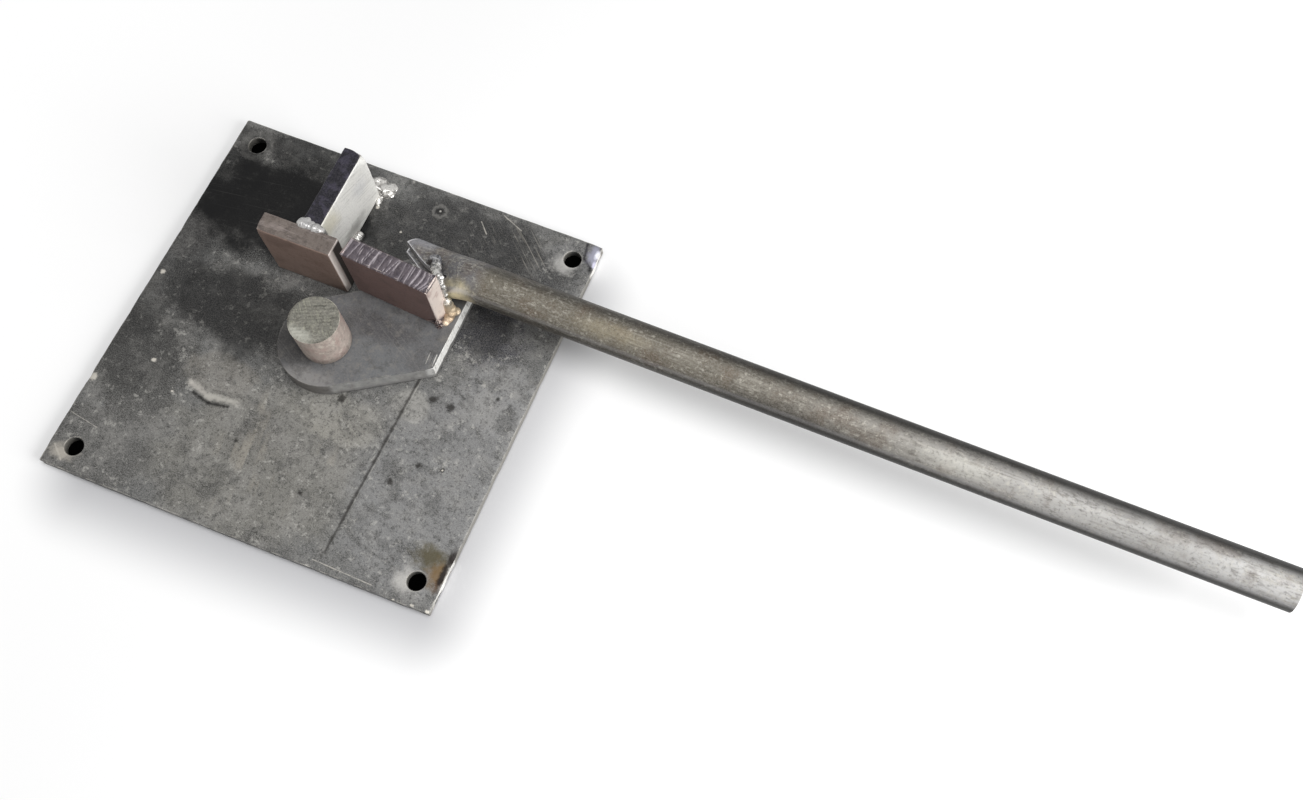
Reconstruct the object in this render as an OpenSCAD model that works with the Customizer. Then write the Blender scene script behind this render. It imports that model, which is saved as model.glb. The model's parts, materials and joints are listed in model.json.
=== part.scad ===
// Bench-mounted rod bender, all welded from plain steel stock.
// A square base plate carries a pivot pin and a fixed stop plate with a rib behind it.
// A swing plate turns about the pin and carries a pusher plate and a tube handle.
// The origin is on the pin's axis at the underside of the base plate.
// +Z points up, and +X runs along the handle where the lever is at rest.

/* [Base plate] */
// Side of the square base plate
base_side = 200; // [190:1:240]
// Thickness of the base plate
base_t = 5; // [4:0.5:8]
// Distance from the base plate's edges to the centre of each mounting hole
hole_inset = 12; // [8:0.5:20]
// Diameter of each mounting hole
hole_d = 9; // [6:0.5:11]
// Small cut on each corner of the base plate
base_corner_cut = 1; // [0.5:0.25:3]

/* [Pivot pin] */
// Diameter of the pin's head, which the rod is bent around
head_d = 24; // [20:1:28]
// Height of the pin's top above the base plate
head_top = 35; // [30:1:45]
// Diameter of the pin's tail, in the swing plate and the base plate
tail_d = 16; // [12:1:18]
// Bevel on the pin's top edge
head_bevel = 0.6; // [0.2:0.1:1.5]
// Width and depth of the plug weld round the tail's lower end
plug_leg = 3; // [2:0.25:3.5]

/* [Fits] */
// Radial clearance between the pin's tail and the swing plate's bore
bore_clearance = 0.05; // [0.02:0.01:0.1]
// Working gap under the swing plate, and again under the pin's head
slide_gap = 0.2; // [0.1:0.05:0.4]

/* [Rod gap] */
// Gap between the pin's head and the pusher's face
rod_gap = 14.6; // [12:0.2:18]
// How far the stop's face stands back from the pusher's face
stop_set_back = 3.4; // [0:0.2:6]

/* [Stop] */
// Width of the stop plate
stop_w = 38.5; // [34:0.5:50]
// Thickness of the stop plate
stop_t = 10; // [6:0.5:12]
// Height of the stop plate and its rib
stop_h = 40; // [30:1:50]
// Distance from the pin's axis to the stop's nearer end
stop_end = 6.5; // [4:0.5:10]
// Thickness of the rib
rib_t = 10; // [6:0.5:12]
// Length of the rib behind the stop
rib_len = 45.5; // [30:0.5:48]
// Distance from the stop's nearer end to the rib
rib_inset = 10.2; // [6:0.2:14]

/* [Swing plate] */
// Thickness of the swing plate
swing_t = 10; // [8:0.5:12]
// Radius of the swing plate's round end
swing_r = 23.5; // [20:0.5:25]
// Distance from the pin's axis to the swing plate's straight cut edge
swing_edge = 53.2; // [53:0.2:60]
// Distance of the swing plate's toe from the pin's axis, across the handle
toe_y = 5.8; // [2:0.2:10]
// Distance from the pin's axis to the swing plate's edge beside the stop
heel_end = 2.4; // [1.5:0.1:5]
// How far the swing plate runs on behind the pusher, beside the stop
heel_run = 7.4; // [6:0.2:10]
// How far the swing plate runs on behind the pusher, under the handle
tail_run = 25.4; // [22:0.2:30]

/* [Pusher] */
// Width of the pusher plate
push_w = 45.5; // [40:0.5:46]
// Thickness of the pusher plate
push_t = 10; // [6:0.5:12]
// Height of the pusher plate above the swing plate
push_h = 37; // [30:0.5:44]
// Distance from the pin's axis to the pusher's outer end
push_out = 46.5; // [45:0.5:48]
// Turn of the pusher on the swing plate, about its outer end, in degrees
push_turn = 4.3; // [0:0.1:5]

/* [Handle] */
// Outside diameter of the handle tube
tube_d = 20; // [18:0.5:22]
// Wall of the handle tube
tube_wall = 2; // [1.5:0.25:3]
// Distance from the pin's axis to the tube's free end
reach = 451; // [300:1:600]
// Rise of the handle away from the base plate, in degrees
tube_rise = 3.4; // [2:0.1:5]
// Sideways lean of the handle, in degrees
tube_lean = 1.83; // [0:0.01:3]
// Distance from the pusher's back face to the tube's axis
tube_offset = 12.5; // [11.5:0.1:14]
// Height of the tube's axis above the base plate, where the flattened root ends
neck_height = 25; // [24:0.25:32]
// Distance from the pusher's outer end to where the flattened root ends
neck_run = 13.5; // [10:0.1:18]
// Length of the flattened root
root_len = 45.5; // [40:0.5:50]
// Width of the flattened root at its end
root_w = 27; // [24:0.25:29]
// Thickness of the flattened root at its end
root_t = 8.5; // [7:0.25:12]

/* [Welds] */
// Leg of the fillet beads
bead_leg = 5; // [3:0.25:6]
// Radius of the round weld runs on the lever
run_r = 3; // [2:0.25:3.5]
// Radius of the largest lump of weld at the rib's far end
lump_r = 6; // [4:0.25:7]
// Bevel on the corners of the upright plates
plate_bevel = 0.8; // [0.3:0.1:2]

/* [Hidden] */
$fn = 96;
// Overrun of every cut
cut_over = 1;

// Distance between neighbouring mounting holes
hole_pitch = base_side - 2 * hole_inset;

// Heights
swing_z = base_t + slide_gap;
swing_top = swing_z + swing_t;
head_z = swing_top + slide_gap;
pin_top = base_t + head_top;

// Places across the handle, from the pin's axis
head_r = head_d / 2;
tail_r = tail_d / 2;
push_face = head_r + rod_gap;
push_back = push_face + push_t;
stop_face = push_face + stop_set_back;
stop_back = stop_face + stop_t;
rib_far = stop_back + rib_len;

// Places along the handle, from the pin's axis
stop_left = -stop_end - stop_w;
rib_right = -stop_end - rib_inset;
rib_left = rib_right - rib_t;

// Handle: the neck is where the flattened root becomes a round tube
tube_r = tube_d / 2;
neck_x = push_out + neck_run;
neck_y = push_back + tube_offset;
neck_z = base_t + neck_height;
tube_len = (reach - neck_x) / (cos(tube_lean) * cos(tube_rise));
root_z = swing_top + root_t / 2;
// The root's rings stay inside the tube's wall, where the two run into each other
neck_step = tube_wall / 20;
neck_lap = tube_wall / 4;
root_sides = 40;
// Places of the root's rings, from its end to the neck
ring_shares = [0, 0.1, 0.2, 0.3, 0.4, 0.5, 0.6, 0.7, 0.8, 0.9, 1];
// The root's hollow runs past both of its ends
hollow_shares = concat([-0.05], ring_shares, [1.05]);
// The first stretch of the root is flat all along
flat_share = 0.215;
// Share of the root's length at which the top weld's foot stands
top_weld_share = 0.43;

// Height of a bead's face above the straight line between its toes
crown_share = 0.12;
bead_steps = 6;
// Round weld runs: steps of their round ends, ripples along them and the depth of a ripple
run_steps = 5;
run_ripples = 4;
ripple_share = 0.12;

// Outline of a rectangle about its centre, with its corners cut off
function cut_rectangle(w, h, c) = [
    [-w / 2 + c, -h / 2], [w / 2 - c, -h / 2],
    [w / 2, -h / 2 + c], [w / 2, h / 2 - c],
    [w / 2 - c, h / 2], [-w / 2 + c, h / 2],
    [-w / 2, h / 2 - c], [-w / 2, -h / 2 + c]
];

// Point where a line from p touches a circle of radius r about the origin, on one side of p
function touch_point(p, r, side) =
    let (a = atan2(p.y, p.x) + side * acos(r / norm(p)))
    [r * cos(a), r * sin(a)];

// Section of a fillet bead in the corner between a floor and a wall
function bead_outline(leg) = concat(
    [[0, 0]],
    [for (i = [0:bead_steps])
        let (a = 90 * i / bead_steps, r = leg * (1 / (cos(a) + sin(a)) + crown_share * sin(2 * a)))
        [r * cos(a), r * sin(a)]]
);

// 0 on the flat stretch of the root, rising smoothly to 1 at the neck
function roundness(s) =
    let (u = min(1, max(0, (s - flat_share) / (1 - flat_share))))
    u * u * (3 - 2 * u);
function blend(a, b, u) = a + (b - a) * u;

// Height of the root's middle and its thickness, at a share of its length
function root_height(s) =
    blend(root_z, neck_z - (1 - s) * root_len * tan(tube_rise), roundness(s));
function root_thickness(s) = blend(root_t, tube_d, roundness(s));

// One ring of the root: a flat oval at its end, nearly round at the neck
function root_ring(s, inset) =
    let (
        u = roundness(s),
        shrink = inset + (inset < tube_wall ? neck_step : -neck_step) * u,
        w = blend(root_w, tube_d, u) - 2 * shrink,
        t = root_thickness(s) - 2 * shrink,
        x = (s - 1) * root_len,
        z = root_height(s),
        tilt = tube_rise * u
    )
    [for (i = [0:root_sides - 1])
        let (
            a = 360 * (i + 0.5) / root_sides,
            y = sign(cos(a)) * (w - t) / 2 + cos(a) * t / 2,
            h = sin(a) * t / 2
        )
        [x - h * sin(tilt), y, z + h * cos(tilt)]];

// Rings joined into a closed solid
module ring_solid(rings) {
    n = root_sides;
    last = len(rings) - 1;
    sides = [for (j = [0:last - 1], i = [0:n - 1])
        let (a = j * n + i, b = j * n + (i + 1) % n)
        each [[a, b, b + n], [a, b + n, a + n]]];
    ends = [[for (i = [0:n - 1]) n - 1 - i], [for (i = [0:n - 1]) last * n + i]];
    polyhedron([for (ring = rings) each ring], concat([for (f = sides) [f[2], f[1], f[0]]],
        [for (f = ends) [for (i = [len(f) - 1:-1:0]) f[i]]]));
}

// Upright plate with its length along X, standing on z = 0
module plate_along_x(w, t, h) {
    translate([w / 2, t, h / 2])
        rotate([90, 0, 0])
            linear_extrude(t)
                polygon(cut_rectangle(w, h, plate_bevel));
}

// Fillet bead along X, with its floor towards +Y and its wall upwards
module bead_along_x(run, leg) {
    rotate([90, 0, 90])
        linear_extrude(run)
            polygon(bead_outline(leg));
}

// Run of weld from a to b: a round bead with soft ripples along it
module weld_run(a, b, r) {
    d = b - a;
    run = norm(d);
    translate(a)
        rotate([0, acos(d.z / run), atan2(d.y, d.x)])
            rotate_extrude()
                polygon(concat(
                    [[0, -r]],
                    [for (i = [1:run_steps]) let (t = 90 * i / run_steps - 90) [r * cos(t), r * sin(t)]],
                    [for (i = [1:2 * run_ripples - 1])
                        [r * (i % 2 == 1 ? 1 : 1 - ripple_share), run * i / (2 * run_ripples)]],
                    [for (i = [0:run_steps - 1]) let (t = 90 * i / run_steps) [r * cos(t), run + r * sin(t)]],
                    [[0, run + r]]
                ));
}

// Everything below a height, to cut a weld where it lies on a plate
module below(z) {
    translate([-base_side / 2, -base_side / 2, z - base_side])
        cube(base_side);
}

module base_plate() {
    color("#4d4b49")
        difference() {
            linear_extrude(base_t)
                difference() {
                    polygon(cut_rectangle(base_side, base_side, base_corner_cut));
                    for (x = [-hole_pitch / 2, hole_pitch / 2], y = [-hole_pitch / 2, hole_pitch / 2])
                        translate([x, y])
                            circle(d = hole_d);
                    circle(r = tail_r);
                }
            plug_groove();
        }
}

// Space of the plug weld round the tail's lower end
module plug_groove() {
    rotate_extrude()
        polygon([[tail_r, 0], [tail_r + plug_leg, 0], [tail_r, plug_leg]]);
}

module pivot_pin() {
    color("#8d8a7c")
        rotate_extrude()
            polygon([
                [0, 0], [tail_r, 0], [tail_r, head_z], [head_r, head_z],
                [head_r, pin_top - head_bevel], [head_r - head_bevel, pin_top], [0, pin_top]
            ]);
}

module pin_plug_weld() {
    color("#9a948b")
        plug_groove();
}

module stop_plate() {
    color("#6e625c")
        translate([stop_left, stop_face, base_t])
            plate_along_x(stop_w, stop_t, stop_h);
}

module stop_rib() {
    color("#4a4d5c")
        translate([rib_right, stop_back, base_t])
            rotate([0, 0, 90])
                plate_along_x(rib_len, rib_t, stop_h);
}

// Beads along the stop's back foot, on both sides of the rib
module stop_foot_weld() {
    color("#8c8780") {
        translate([stop_left, stop_back, base_t])
            bead_along_x(rib_left - stop_left - bead_leg, bead_leg);
        translate([rib_right, stop_back, base_t])
            bead_along_x(-stop_end - rib_right, bead_leg);
    }
}

// Bead along the rib's foot, on the side away from the handle
module rib_foot_weld() {
    color("#8c8780")
        translate([rib_left, stop_back, base_t])
            rotate([0, 0, 90])
                bead_along_x(rib_len, bead_leg);
}

// Spread lumps of weld round the foot of the rib's far end
module rib_end_weld() {
    color("#b9b6ae")
        difference() {
            union() {
                translate([rib_right - rib_t / 5, rib_far + lump_r / 3, base_t - lump_r / 8])
                    sphere(lump_r);
                translate([rib_right + lump_r / 3, rib_far + lump_r / 2, base_t - lump_r / 6])
                    sphere(lump_r * 0.8);
                translate([rib_right - rib_t * 0.7, rib_far + lump_r / 6, base_t - lump_r / 6])
                    sphere(lump_r * 0.7);
            }
            stop_rib();
            rib_foot_weld();
            below(base_t);
        }
}

// Tack on the rib's side towards the handle
module rib_tack_weld() {
    color("#b9b6ae")
        difference() {
            union() {
                translate([rib_right + run_r / 4, stop_back + rib_len * 0.36, base_t + run_r / 3])
                    sphere(run_r);
                translate([rib_right + run_r / 4, stop_back + rib_len * 0.44, base_t + run_r / 2])
                    sphere(run_r * 0.8);
            }
            stop_rib();
            below(base_t);
        }
}

// Run of weld over the seam between the rib's top and the stop's top
module rib_top_weld() {
    z = base_t + stop_h - run_r / 3;
    color("#b9b6ae")
        difference() {
            weld_run([rib_left + run_r / 2, stop_back + run_r / 8, z], [rib_right - run_r / 3, stop_back, z], run_r);
            stop_rib();
            stop_plate();
            below(base_t + stop_h / 2);
        }
}

module swing_plate() {
    toe = [swing_edge, toe_y];
    heel = [heel_end, stop_face];
    color("#6d6c6a")
        translate([0, 0, swing_z])
            linear_extrude(swing_t)
                difference() {
                    union() {
                        circle(r = swing_r);
                        polygon([
                            [0, 0], touch_point(toe, swing_r, -1), toe,
                            [swing_edge, push_back + tail_run],
                            [neck_x - root_len * 0.7, push_back + tail_run],
                            [heel_end, push_back + heel_run], heel,
                            touch_point(heel, swing_r, 1)
                        ]);
                    }
                    circle(r = tail_r + bore_clearance);
                }
}

// Puts its children at the outer front foot of the pusher, turned with it
module at_pusher() {
    translate([push_out, push_face, swing_top])
        rotate([0, 0, -push_turn])
            children();
}

module pusher_plate() {
    color("#5e5157")
        at_pusher()
            translate([-push_w, 0, 0])
                plate_along_x(push_w, push_t, push_h);
}

// Bead along the pusher's back foot, up to where the handle's root begins
module pusher_foot_weld() {
    color("#8c8780")
        at_pusher()
            translate([-push_w, push_t, 0])
                bead_along_x(neck_x - root_len - push_out + push_w, bead_leg);
}

// Lumps of weld up the pusher's outer end, towards the handle
module pusher_end_weld() {
    x = run_r / 4;
    y = push_t - run_r / 2;
    color("#b59f86")
        difference() {
            at_pusher() {
                weld_run([x, y, run_r / 3], [x, y + run_r / 8, push_h * 0.3], run_r);
                translate([x + run_r / 2, y - run_r, run_r / 4])
                    sphere(run_r * 0.9);
            }
            pusher_plate();
            below(swing_top);
        }
}

// Tube with a flattened root that is mitred to pass the pusher's back corner
module handle_tube() {
    root_end = -root_len;
    color("#86837b")
        translate([neck_x, neck_y, 0])
            rotate([0, 0, -tube_lean])
                difference() {
                    union() {
                        difference() {
                            ring_solid([for (s = ring_shares) root_ring(s, 0)]);
                            ring_solid([for (s = hollow_shares) root_ring(s, tube_wall)]);
                        }
                        translate([0, 0, neck_z])
                            rotate([0, 90 - tube_rise, 0])
                                translate([0, 0, -neck_lap])
                                    difference() {
                                        cylinder(r = tube_r, h = tube_len + neck_lap);
                                        translate([0, 0, -cut_over])
                                            cylinder(r = tube_r - tube_wall, h = tube_len + neck_lap + 2 * cut_over);
                                    }
                    }
                    mitre_cut(root_end);
                }
}

// Slanted cut across the root, from its end to its side nearer the pusher
module mitre_cut(root_end) {
    translate([root_end, root_w / 4, swing_top + root_t / 2])
        rotate([0, 0, -29])
            rotate([-21, 0, 0])
                translate([-root_len, -root_len, -root_len])
                    cube([root_len * 1.7, root_len, 2 * root_len]);
    translate([root_end, root_w * 0.3, 0])
        rotate([0, 0, 50])
            translate([-root_len, 0, 0])
                cube([3 * root_len, root_len, 2 * root_len]);
}

// Weld from the pusher's back corner down on to the top of the root
module handle_top_weld() {
    s = top_weld_share;
    foot_x = neck_x - (1 - s) * root_len;
    foot_z = root_height(s) + root_thickness(s) / 2 + run_r * 0.8;
    color("#c4beb0")
        difference() {
            weld_run([push_out - run_r, push_back + run_r * 0.6, swing_top + push_h * 0.78],
                [foot_x, push_back + run_r * 4.6, foot_z], run_r * 1.15);
            pusher_plate();
            handle_tube();
        }
}

// Weld along the foot of the root's mitre
module handle_mitre_weld() {
    z = swing_top + run_r / 8;
    color("#8c8780")
        difference() {
            weld_run([neck_x - root_len * 0.86, neck_y + run_r * 0.6, z],
                [neck_x - root_len * 0.46, push_back + run_r * 1.1, z], run_r * 0.6);
            handle_tube();
            below(swing_top);
        }
}

// Weld along the foot of the root's far side
module handle_back_weld() {
    z = swing_top + run_r / 8;
    color("#8c8780")
        difference() {
            weld_run([neck_x - root_len * 0.65, push_back + tail_run - run_r / 3, z],
                [neck_x - root_len * 0.46, push_back + tail_run - run_r * 1.15, z], run_r * 0.72);
            handle_tube();
            below(swing_top);
        }
}

base_plate();
pivot_pin();
pin_plug_weld();
stop_plate();
stop_rib();
stop_foot_weld();
rib_foot_weld();
rib_end_weld();
rib_tack_weld();
rib_top_weld();
swing_plate();
pusher_plate();
pusher_foot_weld();
pusher_end_weld();
handle_tube();
handle_top_weld();
handle_mitre_weld();
handle_back_weld();
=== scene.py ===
# %% [markdown]
# # A welded rod bender, dressed for the camera
# The frame of this scene is a set of exact steel pieces: a base plate, a pivot pin, a stop with
# its rib, a swing plate, a pusher, a tube handle and the welds between them.
# This script keeps every size and place of that frame, and gives each piece the edges, dents,
# saw marks, weld ripples and scale that it has on the real tool.
# %% Load the frame
import json
import math
import random

import bpy
from mathutils import Euler, Matrix, Vector, noise

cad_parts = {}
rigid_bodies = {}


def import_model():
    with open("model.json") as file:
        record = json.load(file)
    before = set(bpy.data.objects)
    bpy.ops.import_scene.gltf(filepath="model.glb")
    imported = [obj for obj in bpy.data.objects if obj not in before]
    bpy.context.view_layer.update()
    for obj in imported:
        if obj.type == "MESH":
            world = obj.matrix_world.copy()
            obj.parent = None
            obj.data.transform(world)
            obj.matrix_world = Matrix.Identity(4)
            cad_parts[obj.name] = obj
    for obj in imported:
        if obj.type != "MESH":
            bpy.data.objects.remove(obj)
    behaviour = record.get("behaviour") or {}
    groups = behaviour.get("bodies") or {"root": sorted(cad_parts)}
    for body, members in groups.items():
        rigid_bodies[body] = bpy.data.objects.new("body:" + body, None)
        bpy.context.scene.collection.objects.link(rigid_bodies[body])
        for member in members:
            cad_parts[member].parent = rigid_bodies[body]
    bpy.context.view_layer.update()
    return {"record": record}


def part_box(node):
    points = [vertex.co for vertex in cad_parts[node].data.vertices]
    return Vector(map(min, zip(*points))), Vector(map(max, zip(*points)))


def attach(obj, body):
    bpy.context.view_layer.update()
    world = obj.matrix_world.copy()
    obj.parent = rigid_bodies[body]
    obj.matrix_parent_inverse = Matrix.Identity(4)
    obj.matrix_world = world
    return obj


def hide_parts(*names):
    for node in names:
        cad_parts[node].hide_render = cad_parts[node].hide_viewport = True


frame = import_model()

# %% [markdown]
# ## Measures
# Nearly every length comes from the boxes of the frame's own pieces, so that a new size there
# moves everything here. What a box can't tell, such as the tube's slope, is named below it.
# %% Measures
mm = 0.001
tiny = mm / 100
plate_low, plate_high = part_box("base_plate")
pin_low, pin_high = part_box("pivot_pin")
stop_low, stop_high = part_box("stop_plate")
rib_low, rib_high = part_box("stop_rib")
swing_low, swing_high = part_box("swing_plate")
push_low, push_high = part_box("pusher_plate")
tube_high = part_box("handle_tube")[1]
plate_top = plate_high.z
swing_top = swing_high.z

holes = [m for m in frame["record"]["mounts"] if m["name"] == "mounting_holes"][0]["dims"]
hole_x = holes["spacing_x_mm"] / 2 * mm
hole_y = holes["spacing_y_mm"] / 2 * mm
hole_r = holes["hole_r_mm"] * mm

head_r = pin_high.x
tail_r = 8 * mm
bore_gap = 0.05 * mm
head_gap = 0.2 * mm
swing_r = -swing_low.x
tube_r = 10 * mm
tube_wall = 2 * mm
rise = math.radians(3.4)
lean = math.radians(1.83)
push_t = stop_high.y - stop_low.y
push_turn = math.radians(4.3)
push_foot = Vector((push_high.x - push_t * math.sin(push_turn), push_low.y, swing_top))
push_w = (push_foot.x - push_low.x) / math.cos(push_turn)
push_h = push_high.z - swing_top
push_back = push_foot.y + push_t
heel_end = 2.4 * mm
neck = Vector((push_foot.x + 13.5 * mm, push_back + 12.5 * mm, plate_top + 25 * mm))
root_len = 45.5 * mm
root_w = 27 * mm
root_t = 8.5 * mm
print("plate side", round(plate_high.x - plate_low.x, 4), "swing plate top at", round(swing_top, 4))

# %% [markdown]
# ## Camera
# The photograph was taken by hand from the right and well above. A camera was fitted to the
# plate's corners and holes, and these are its place, its turn and its lens.
# The small shift stands for the photograph's crop, which isn't centred on the lens.
# %% Camera
camera_place = Vector((0.2596, -0.1789, 0.6135))
camera_turn = Euler([math.radians(a) for a in (22.205, -2.044, 20.851)])
bpy.ops.object.select_all(action="DESELECT")
camera_data = bpy.data.cameras.new("photo_camera")
camera = bpy.data.objects.new("photo_camera", camera_data)
bpy.context.scene.collection.objects.link(camera)
camera.location = camera_place
camera.rotation_euler = camera_turn
camera_data.sensor_width = 36
camera_data.lens = 37.4
camera_data.shift_x = -0.0727
camera_data.shift_y = -0.0182
camera_data.clip_start = 0.01
bpy.context.scene.camera = camera
print("camera", [round(c, 3) for c in camera.location])

# %% [markdown]
# ## Tools for modelling by hand
# An operator works on whatever is selected, so each step first says what that is.
# `only` picks whole pieces, and `edit` opens a piece and picks faces, edges or vertices by a
# test of their place or direction. `done` closes the piece again, and `change` does it all for
# a single operator. `settled` names what an operator made and applies its place and turn.
# %% Selecting
def only(*pieces):
    bpy.ops.object.select_all(action="DESELECT")
    for piece in pieces:
        piece.select_set(True)
    bpy.context.view_layer.objects.active = pieces[0]


def edit(piece, kind, test):
    only(piece)
    bpy.ops.object.mode_set(mode="EDIT")
    bpy.ops.mesh.select_mode(type=kind)
    bpy.ops.mesh.select_all(action="DESELECT")
    bpy.ops.object.mode_set(mode="OBJECT")
    mesh = piece.data
    for item in {"VERT": mesh.vertices, "EDGE": mesh.edges, "FACE": mesh.polygons}[kind]:
        item.select = bool(test(item))
    bpy.ops.object.mode_set(mode="EDIT")


def done():
    bpy.ops.object.mode_set(mode="OBJECT")


def change(piece, kind, test, operator, **settings):
    edit(piece, kind, test)
    operator(**settings)
    done()


def settle(piece):
    only(piece)
    bpy.ops.object.transform_apply(location=True, rotation=True, scale=True)


def settled(name):
    piece = bpy.context.object
    piece.name = name
    settle(piece)
    return piece


def ends(piece, edge):
    return [piece.data.vertices[i].co for i in edge.vertices]


def tidy_normals(piece):
    edit(piece, "VERT", lambda v: True)
    bpy.ops.mesh.remove_doubles(threshold=0.01 * mm)
    bpy.ops.mesh.normals_make_consistent(inside=False)
    done()


# %% [markdown]
# A few more moves come up on every piece. `modify` gives it a modifier and applies that at once.
# `cut_away` takes one shape out of another, the way a drill or a saw does. `press_in` lowers
# the surface by a depth that is worked out for each point, which is how dents, saw marks and
# ragged edges get into the mesh. It only ever takes material away, so no piece grows past its
# true size. `replace` smooths a finished piece and says which node of the frame it stands for.
# In the wear of each piece a factor is a depth in millimetres, and `rough` takes a point, the
# size of the bumps, and a seed of its own so that no two patterns match.
# %% Cutting and pressing
def modify(piece, kind, **settings):
    made = piece.modifiers.new(kind.lower(), kind)
    for name, value in settings.items():
        setattr(made, name, value)
    only(piece)
    bpy.ops.object.modifier_apply(modifier=made.name)


def cut_away(piece, cutter):
    modify(piece, "BOOLEAN", operation="DIFFERENCE", solver="EXACT", object=cutter)
    bpy.data.objects.remove(cutter)


def press_in(piece, depth, deepest):
    group = piece.vertex_groups.new(name="depth")
    for v in piece.data.vertices:
        share = depth(v.co, v.normal) / deepest
        group.add([v.index], min(1.0, max(0.0, share)), "REPLACE")
    modify(piece, "DISPLACE", vertex_group="depth", mid_level=0, strength=-deepest)
    piece.vertex_groups.clear()


def rough(co, size, seed=0, over=0.0):
    """Smooth random value from 0 to 1 with bumps about size across, or what rises over a level."""
    return max(0.0, 0.5 + 0.5 * noise.noise(Vector(co) / size + Vector((seed, seed, seed))) - over)


def near(co, place, reach):
    """1 at a place, falling smoothly to 0 at its reach."""
    gap = (Vector(co) - Vector(place)).length / reach
    return max(0.0, 1 - gap * gap) ** 2


def replace(piece, degrees, node, body):
    only(piece)
    bpy.ops.object.shade_smooth_by_angle(angle=math.radians(degrees))
    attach(piece, body)
    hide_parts(node)
    print(piece.name, len(piece.data.vertices), "vertices for", node)


# %% [markdown]
# ## Base plate
# The real plate is 5 mm hot-rolled sheet, sheared and torch-trimmed at the corners, with four
# drilled holes. A cube would have the right size but nothing to dent, so the plate starts as a
# grid, gets its thickness from Solidify and a small break along its rim from Bevel.
# The rim is then chewed a little and the dents are pressed in before the holes are drilled.
# %% Base plate
plate_side = plate_high.x - plate_low.x
plate_cells = 100
bpy.ops.mesh.primitive_grid_add(
    x_subdivisions=plate_cells, y_subdivisions=plate_cells, size=plate_side, location=(0, 0, plate_top))
base_plate = settled("base_plate_worn")

dent_centre = Vector((-40 * mm, -41 * mm, plate_top))
dent_reach = 19 * mm
change(base_plate, "FACE", lambda f: (f.center - dent_centre).length < dent_reach,
       bpy.ops.mesh.subdivide, number_cuts=2)
modify(base_plate, "SOLIDIFY", thickness=plate_top, offset=-1)


def at_corner(e):
    return all(min(abs(c.x), abs(c.y)) > plate_side / 2 - tiny for c in ends(base_plate, e))


change(base_plate, "EDGE", at_corner, bpy.ops.mesh.bevel, offset=1 * mm, segments=2)
modify(base_plate, "BEVEL", width=0.35 * mm, segments=2, limit_method="ANGLE")


# %% [markdown]
# The rim of the real plate is not straight: the shear left shallow waves, and the torch left
# bites at three corners. `rim_gap` says how far a point lies from the rim, and the bites are
# places along it with a reach and a depth. In front of the pin a blow left a crescent dent.
# %% Base plate rim and dents
rim_deep = 1.2 * mm
rim_bites = [((100, -92), 9, 1.6), ((101, -80), 6, 1.3), ((94, -100), 7, 1.2), ((100, 96), 8, 1.3),
             ((-99, -54), 3.5, 1.0), ((-100, -97), 9, 1.2), ((-90, -101), 7, 0.9), ((101, -30), 4, 0.6),
             ((101, 20), 5, 0.5), ((40, -101), 6, 0.5), ((-45, -101), 5, 0.5), ((-101, 30), 4, 0.5)]


def rim_gap(co):
    return plate_side / 2 - max(abs(co.x), abs(co.y))


def rim_wear(co, normal):
    if rim_gap(co) > rim_deep:
        return 0
    wave = 0.25 * rough(co, 9 * mm, 3) + 0.2 * rough(co, 3 * mm, 5)
    bite = sum(deep * near((co.x, co.y, 0), (x * mm, y * mm, 0), reach * mm) * rough(co, 2.5 * mm, 7)
               for (x, y), reach, deep in rim_bites)
    return (wave + bite) * mm * (1 - rim_gap(co) / rim_deep)


dent_half = 15 * mm
dent_wide = 2.2 * mm
dent_deep = 0.45 * mm
dent_curve = 70 * mm


def dent(co, normal):
    if normal.z < 0.9:
        return 0
    across = co.x - dent_centre.x
    sag = dent_centre.y + across * across / dent_curve - 1.5 * mm
    width = dent_wide * max(0.0, 1 - (across / dent_half) ** 2)
    crescent = dent_deep * max(0.0, 1 - abs(co.y - sag) / (width + tiny))
    ripple = 0.06 * mm * rough(co, 25 * mm, 1)
    return crescent + ripple


press_in(base_plate, dent, 0.6 * mm)
press_in(base_plate, rim_wear, 2 * mm)


# %% [markdown]
# ## Turned shapes
# A drill, a pin and a washer are all a round face that is pulled up step by step, with each step
# made wider or narrower. `turned` does that from a list of radius and height, so the same few
# lines give the drill that cuts the holes and, further on, the pivot pin.
# %% Turning
def turned(name, profile, x=0, y=0, sides=64):
    radius, z = profile[0]
    bpy.ops.mesh.primitive_circle_add(vertices=sides, radius=radius, fill_type="NGON", location=(x, y, z))
    piece = settled(name)
    edit(piece, "FACE", lambda f: True)
    for next_radius, next_z in profile[1:]:
        bpy.ops.mesh.extrude_region_move(TRANSFORM_OT_translate={"value": (0, 0, next_z - z)})
        grow = next_radius / radius
        bpy.ops.transform.resize(value=(grow, grow, 1), center_override=(x, y, next_z))
        radius, z = next_radius, next_z
    done()
    tidy_normals(piece)
    return piece


# %% [markdown]
# The holes were drilled and their edges lightly broken, so the drill flares a little where it
# enters and leaves. The hole in the middle holds the pin's tail.
# %% Drilling
def drill(x, y, radius, low, high, flare):
    return turned("drill", [(radius + 3 * flare, low - 2 * flare), (radius, low + flare),
                            (radius, high - flare), (radius + 3 * flare, high + 2 * flare)], x, y)


for x in (-hole_x, hole_x):
    for y in (-hole_y, hole_y):
        cut_away(base_plate, drill(x, y, hole_r, 0, plate_top, 0.3 * mm))
cut_away(base_plate, drill(0, 0, tail_r, 0, plate_top, 0.2 * mm))
replace(base_plate, 35, "base_plate", "base")

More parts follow.
